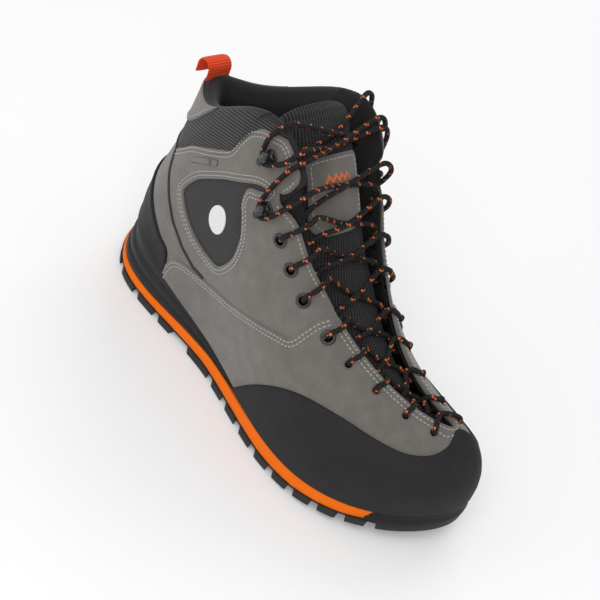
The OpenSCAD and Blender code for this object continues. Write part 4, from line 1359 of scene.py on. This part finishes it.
LUG_H, RUBBER_T, GROOVE_W, FOAM_OUT, HEEL_FLARE = 4.5, 1.5, 5, 2, 3
TREAD = [(0, 8), (12, 3), (25, 0), (200, 0), (230, 2), (255, 5), (280, 10), (300, 16)]
STABILISER = [(0, 26), (30, 24), (66, 19), (98, 12), (128, 7), (160, 3), (175, 1.6), (190, 0.4)]
GROOVES = [22, 45, 68, 128, 146, 164, 182, 200, 218, 236, 254, 272]
GROOVE_SLANT, CHANNEL_Y, BREAST_X = 20, 14, 92
# Cutters: length, width at the ground and width at the top
SIDE_CUT = (60, GROOVE_W + 1.6, GROOVE_W - 1)
CROSS_STEP, CROSS_CUT = 24, (2 * CHANNEL_Y, 4.2, 2.6)
CHANNEL_X, CHANNEL_CUT = 10, (215, 4.2, 2.8)
BREAST_CUT = (120, 20, 17)
LUG_BEVEL = 0.5
RING = np.linspace(0, STATIONS, 280, endpoint=False)


def sole_x(s):
    return along(0, s)[..., 0] - HEEL_X


def tread_z(s):
    return lookup(sole_x(s), TREAD)


def upper_z(s):
    return along(0, s)[..., 2]


def rubber_z(s):
    return tread_z(s) + LUG_H + RUBBER_T


def foam_z(s):
    return upper_z(s) - lookup(sole_x(s), STABILISER)


def flare(s):
    return HEEL_FLARE * lookup(from_toe(s), [(6, 0), (8.5, 0.6), (10, 1)])


def foam_edge(s):
    return FOAM_OUT * lookup(from_toe(s), [(1, 0), (2, 1)]) + flare(s)


def rubber_edge(s):
    return FOAM_OUT + 1 + flare(s)


def sole_ring(s, out, z):
    """Points round the sole's outline at height z, moved outwards by out."""
    t = along(0, s + 0.01) - along(0, s - 0.01)
    side_on = unit(np.stack([-t[:, 1], t[:, 0], np.zeros(len(s))], 1))
    p = along(0, s) + np.asarray(out, float)[..., None] * side_on
    p[:, 2] = z
    return p


def loft(rings, closed=True):
    """Stack of rings with a strip lid at both ends; rings are symmetric about the middle of their list."""
    n, k = len(rings[0]), len(rings)
    faces = ring_faces(k, n)
    pair = (lambda i: (n - i) % n) if closed else (lambda i: n - 1 - i)
    for base, turn in ((0, 1), ((k - 1) * n, -1)):
        for i in range(n // 2):
            quad = []
            for v in (i, i + 1, pair(i + 1), pair(i)):
                if base + v not in quad:
                    quad.append(base + v)
            if len(quad) > 2:
                faces.append(tuple(quad[::turn]))
    return np.vstack(rings), faces


def make_midsole():
    """Orange foam wedge with softly rounded edges and a slight belly."""
    s = RING
    low, high = rubber_z(s) + 0.05, foam_z(s) - 0.02
    profile = [(0, 1.2), (0, 0.5), (0.06, 0.12), (0.2, -0.15), (0.5, -0.3), (0.8, -0.15), (0.94, 0.12),
               (1, 0.5), (1, 1.2)]
    rings = [sole_ring(s, foam_edge(s) - inward, low + (high - low) * share) for share, inward in profile]
    obj = make_mesh("foam_midsole", *loft(rings), flat_above=60)
    return finish_piece(obj, "boot", MATERIALS["foam"], ["midsole"])


def make_stabiliser():
    """Rubber heel stabiliser: ribs and grooves that run out towards the waist."""
    s = np.linspace(4.4, STATIONS - 4.4, 200)
    low, high = foam_z(s) + 0.03, upper_z(s) - 0.03
    profile = [(-1.5, 0), (0.9, 0), (1.25, 0.04), (1.3, 0.1), (1.2, 0.17), (0.5, 0.2), (-0.7, 0.24),
               (-0.75, 0.29), (0.2, 0.33), (0.75, 0.36), (0.9, 0.44), (0.85, 0.52), (0.2, 0.56), (-0.8, 0.6),
               (-0.85, 0.66), (-0.3, 0.72), (-0.05, 0.8), (0.05, 0.9), (0, 0.97), (-0.4, 1), (-1.5, 1)]
    fade = smoothstep((high - low) / 9)
    rings = [sole_ring(s, out * (0.35 + 0.65 * fade) + flare(s) * (1 - share), low + (high - low) * share)
             for out, share in profile]
    obj = make_mesh("heel_stabiliser", *loft(rings, closed=False), flat_above=70)
    return finish_piece(obj, "boot", MATERIALS["stabiliser"], ["stabiliser"])


def groove(x, y, z, turn, length, wide, narrow, height):
    """Groove cutter: a bar with a trapezoid section, wide side down, from (x, y) outwards."""
    section = [(-wide / 2, -6), (wide / 2, -6), (wide / 2, 0), (narrow / 2, height), (-narrow / 2, height),
               (-wide / 2, 0)]
    a = math.radians(turn)
    ax = np.array([math.cos(a), math.sin(a), 0])
    ay = np.array([-math.sin(a), math.cos(a), 0])
    at = np.array([HEEL_X + x, y, z])
    verts = [at + ax * t + ay * u + np.array([0, 0, v]) for t in (0, length) for u, v in section]
    n = len(section)
    return np.array(verts), [f[::-1] for f in ring_faces(2, n) + end_faces(2, n)]


def groove_cutters(full):
    """Slanted grooves at the sides, cross grooves and two channels in the middle, and the heel breast."""
    cutters = []
    for x in GROOVES:
        z = lookup(x, TREAD)
        for side in (1, -1):
            cutters.append(groove(x, side * CHANNEL_Y, z, side * (90 - GROOVE_SLANT), *SIDE_CUT, full + 2))
    for x in range(GROOVES[0], GROOVES[-1], CROSS_STEP):
        cutters.append(groove(x, -CHANNEL_Y, lookup(x, TREAD), 90, *CROSS_CUT, LUG_H - 0.6))
    for side in (1, -1):
        cutters.append(groove(CHANNEL_X, side * CHANNEL_Y + 3, 0.2, 0, *CHANNEL_CUT, LUG_H - 0.2))
    return cutters + [groove(BREAST_X + 10, -60, 0, 90, *BREAST_CUT, full + 1)]


def apply_modifier(obj, kind, **settings):
    modifier = obj.modifiers.new(kind, kind)
    for key, value in settings.items():
        setattr(modifier, key, value)
    with bpy.context.temp_override(object=obj, active_object=obj):
        bpy.ops.object.modifier_apply(modifier=modifier.name)


def make_lugs():
    """Chunky bevelled lugs of rubber."""
    full = LUG_H + RUBBER_T - 0.1
    rings = [sole_ring(RING, rubber_edge(RING) - inward, tread_z(RING) + height)
             for height, inward in ((0, 1.3), (0.5, 0.4), (1.6, 0.05), (full, 0.05))]
    body = make_mesh("tread_lugs", *loft(rings), smooth=False)
    for i, cutter in enumerate(groove_cutters(full)):
        tool = make_mesh(f"cutter_{i}", *cutter, smooth=False)
        apply_modifier(body, "BOOLEAN", operation="DIFFERENCE", object=tool, solver="MANIFOLD")
        bpy.data.objects.remove(tool)
    apply_modifier(body, "BEVEL", width=LUG_BEVEL * MM, segments=2, limit_method="ANGLE",
                   angle_limit=math.radians(35))
    body.data.materials.clear()  # The cutters leave empty slots
    body.data.polygons.foreach_set("use_smooth", [True] * len(body.data.polygons))
    body.data.set_sharp_from_angle(angle=math.radians(40))
    return finish_piece(body, "boot", MATERIALS["tread"], ["outsole"])


def make_tread_base():
    """Continuous layer of rubber over the lugs."""
    low, high = tread_z(RING) + LUG_H, rubber_z(RING)
    profile = [(0, 2.4), (0, 0.5), (0.25, 0.1), (0.5, 0), (0.8, 0.1), (1, 0.55), (1, 2.4)]
    rings = [sole_ring(RING, rubber_edge(RING) - 1 - inward, low + (high - low) * share)
             for share, inward in profile]
    obj = make_mesh("tread_base", *loft(rings), flat_above=60)
    return finish_piece(obj, "boot", MATERIALS["tread"])


BUMPER_TO = 1.75


def make_bumper():
    """Rubber wrapped up over the toe, fading out at both sides."""
    s = np.linspace(-BUMPER_TO, BUMPER_TO, 90)
    fade = smoothstep((BUMPER_TO - np.abs(s)) / 0.35)
    low, high = rubber_z(s) - 0.8, upper_z(s) + 2.5 * fade - 0.6
    rows = [(0, 0.3), (0, -0.35), (0.12, -0.6), (0.4, -0.65), (0.55, -0.35), (0.62, -0.5), (0.8, -0.45),
            (0.93, -0.1), (1, 0.35), (1, 1.8)]
    rings = [sole_ring(s, rubber_edge(s) - 0.2 - inward - 1.1 * (share > 0.5) * share - (1 - fade) * 0.9,
                       low + (high - low) * share) for share, inward in rows]
    rings += [sole_ring(s, 0.3, low + (high - low) * share) for share, _ in rows[::-1]]
    n, k = len(s), len(rings)
    faces = [(r * n + i, r * n + i + 1, ((r + 1) % k) * n + i + 1, ((r + 1) % k) * n + i)
             for r in range(k) for i in range(n - 1)]
    faces.append(tuple(r * n for r in range(k)))
    faces.append(tuple(r * n + n - 1 for r in range(k - 1, -1, -1)))
    obj = make_mesh("toe_bumper", np.vstack(rings), faces, flat_above=60)
    return finish_piece(obj, "boot", MATERIALS["cap"])


def make_footbed():
    """Contoured insole: raised heel cup and arch, dished middle."""
    s = RING
    cup = 3.5 * lookup(from_toe(s), [(6.5, 0), (8.5, 1), (10, 1)])
    rings = [sole_ring(s, -inward, upper_z(s) + z + cup * (z > 5))
             for inward, z in ((8.2, 4.2), (6.8, 4.5), (6.3, 6.5), (6.5, 7.8), (7.4, 8.2))]
    edge = rings[-1]
    middle = (edge + edge[-np.arange(len(s))]) / 2
    for share in (0.75, 0.5, 0.25):
        ring = middle + (edge - middle) * share
        ring[:, 2] = ring[:, 2] - (1.2 + 1.4 * cup / 3.5) * (1 - share**2)
        rings.append(ring)
    obj = make_mesh("contoured_footbed", *loft(rings), flat_above=60)
    return finish_piece(obj, "insole", MATERIALS["felt"], ["footbed"])


# ---- Hidden CAD parts keep their shapes and take a material ----

def dress_hidden():
    for name, key in (("shank", "steel"), ("lasting_board", "board"), ("toe_puff", "stiffener"),
                      ("heel_counter", "stiffener")):
        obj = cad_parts[name]
        obj.data.materials.clear()
        obj.data.materials.append(MATERIALS[key])


# ---- Studio ----

FLOOR_HALF, FLOOR_Z = 3000, -0.1
FLOOR_GLOW, WORLD_LIGHT = 0.13, 0.5
AIM = (0, 0, 0.07)
LIGHTS = (("key", (0.5, -0.9, 1.3), 1.1, 11), ("fill", (-0.9, -1.2, 0.9), 1.4, 4),
          ("back", (-0.6, 1.1, 1.2), 1.2, 6))


def make_studio():
    """White floor, white world and three soft lights (place and size in metres, power in watts)."""
    corners = [(x * FLOOR_HALF, y * FLOOR_HALF, FLOOR_Z) for x, y in ((-1, -1), (1, -1), (1, 1), (-1, 1))]
    floor = make_mesh("studio_floor", corners, [(0, 1, 2, 3)])
    paint = Shader("studio_floor", (0.92, 0.92, 0.92), 0.9, Emission_Color=(1, 1, 1, 1),
                   Emission_Strength=FLOOR_GLOW)
    floor.data.materials.append(paint.material)
    world = bpy.data.worlds.new("studio")
    world.use_nodes = True
    world.node_tree.nodes["Background"].inputs["Color"].default_value = (1, 1, 1, 1)
    world.node_tree.nodes["Background"].inputs["Strength"].default_value = WORLD_LIGHT
    bpy.context.scene.world = world
    bpy.context.scene.view_settings.view_transform = "Standard"
    for name, place, size, power in LIGHTS:
        data = bpy.data.lights.new(name, "AREA")
        data.size, data.energy = size, power
        light = bpy.data.objects.new(name, data)
        light.location = place
        light.rotation_euler = (Vector(AIM) - Vector(place)).to_track_quat("-Z", "Y").to_euler()
        bpy.context.scene.collection.objects.link(light)


make_camera()
make_studio()
make_lace()
make_vamp()
for side, name in ((1, "lateral"), (-1, "medial")):
    make_quarter(side, name)
    make_window(side, name)
    make_tag(side, name)
    make_badge(side, name)
    for i in range(len(RINGS)):
        make_eyelet(side, i, f"eyelet_{name[0]}{i + 1}")
    for i, place in enumerate(("top", "low")):
        make_hook(side, i, f"hook_{name}_{place}")
make_back_strip()
make_heel_cap()
make_rand()
make_stitches()
make_piping()
make_collar()
make_lining()
make_back_tab()
make_pull_loop()
make_tongue()
make_patch()
make_patch_stitches()
make_motif()
make_midsole()
make_stabiliser()
make_lugs()
make_tread_base()
make_bumper()
make_footbed()
dress_hidden()
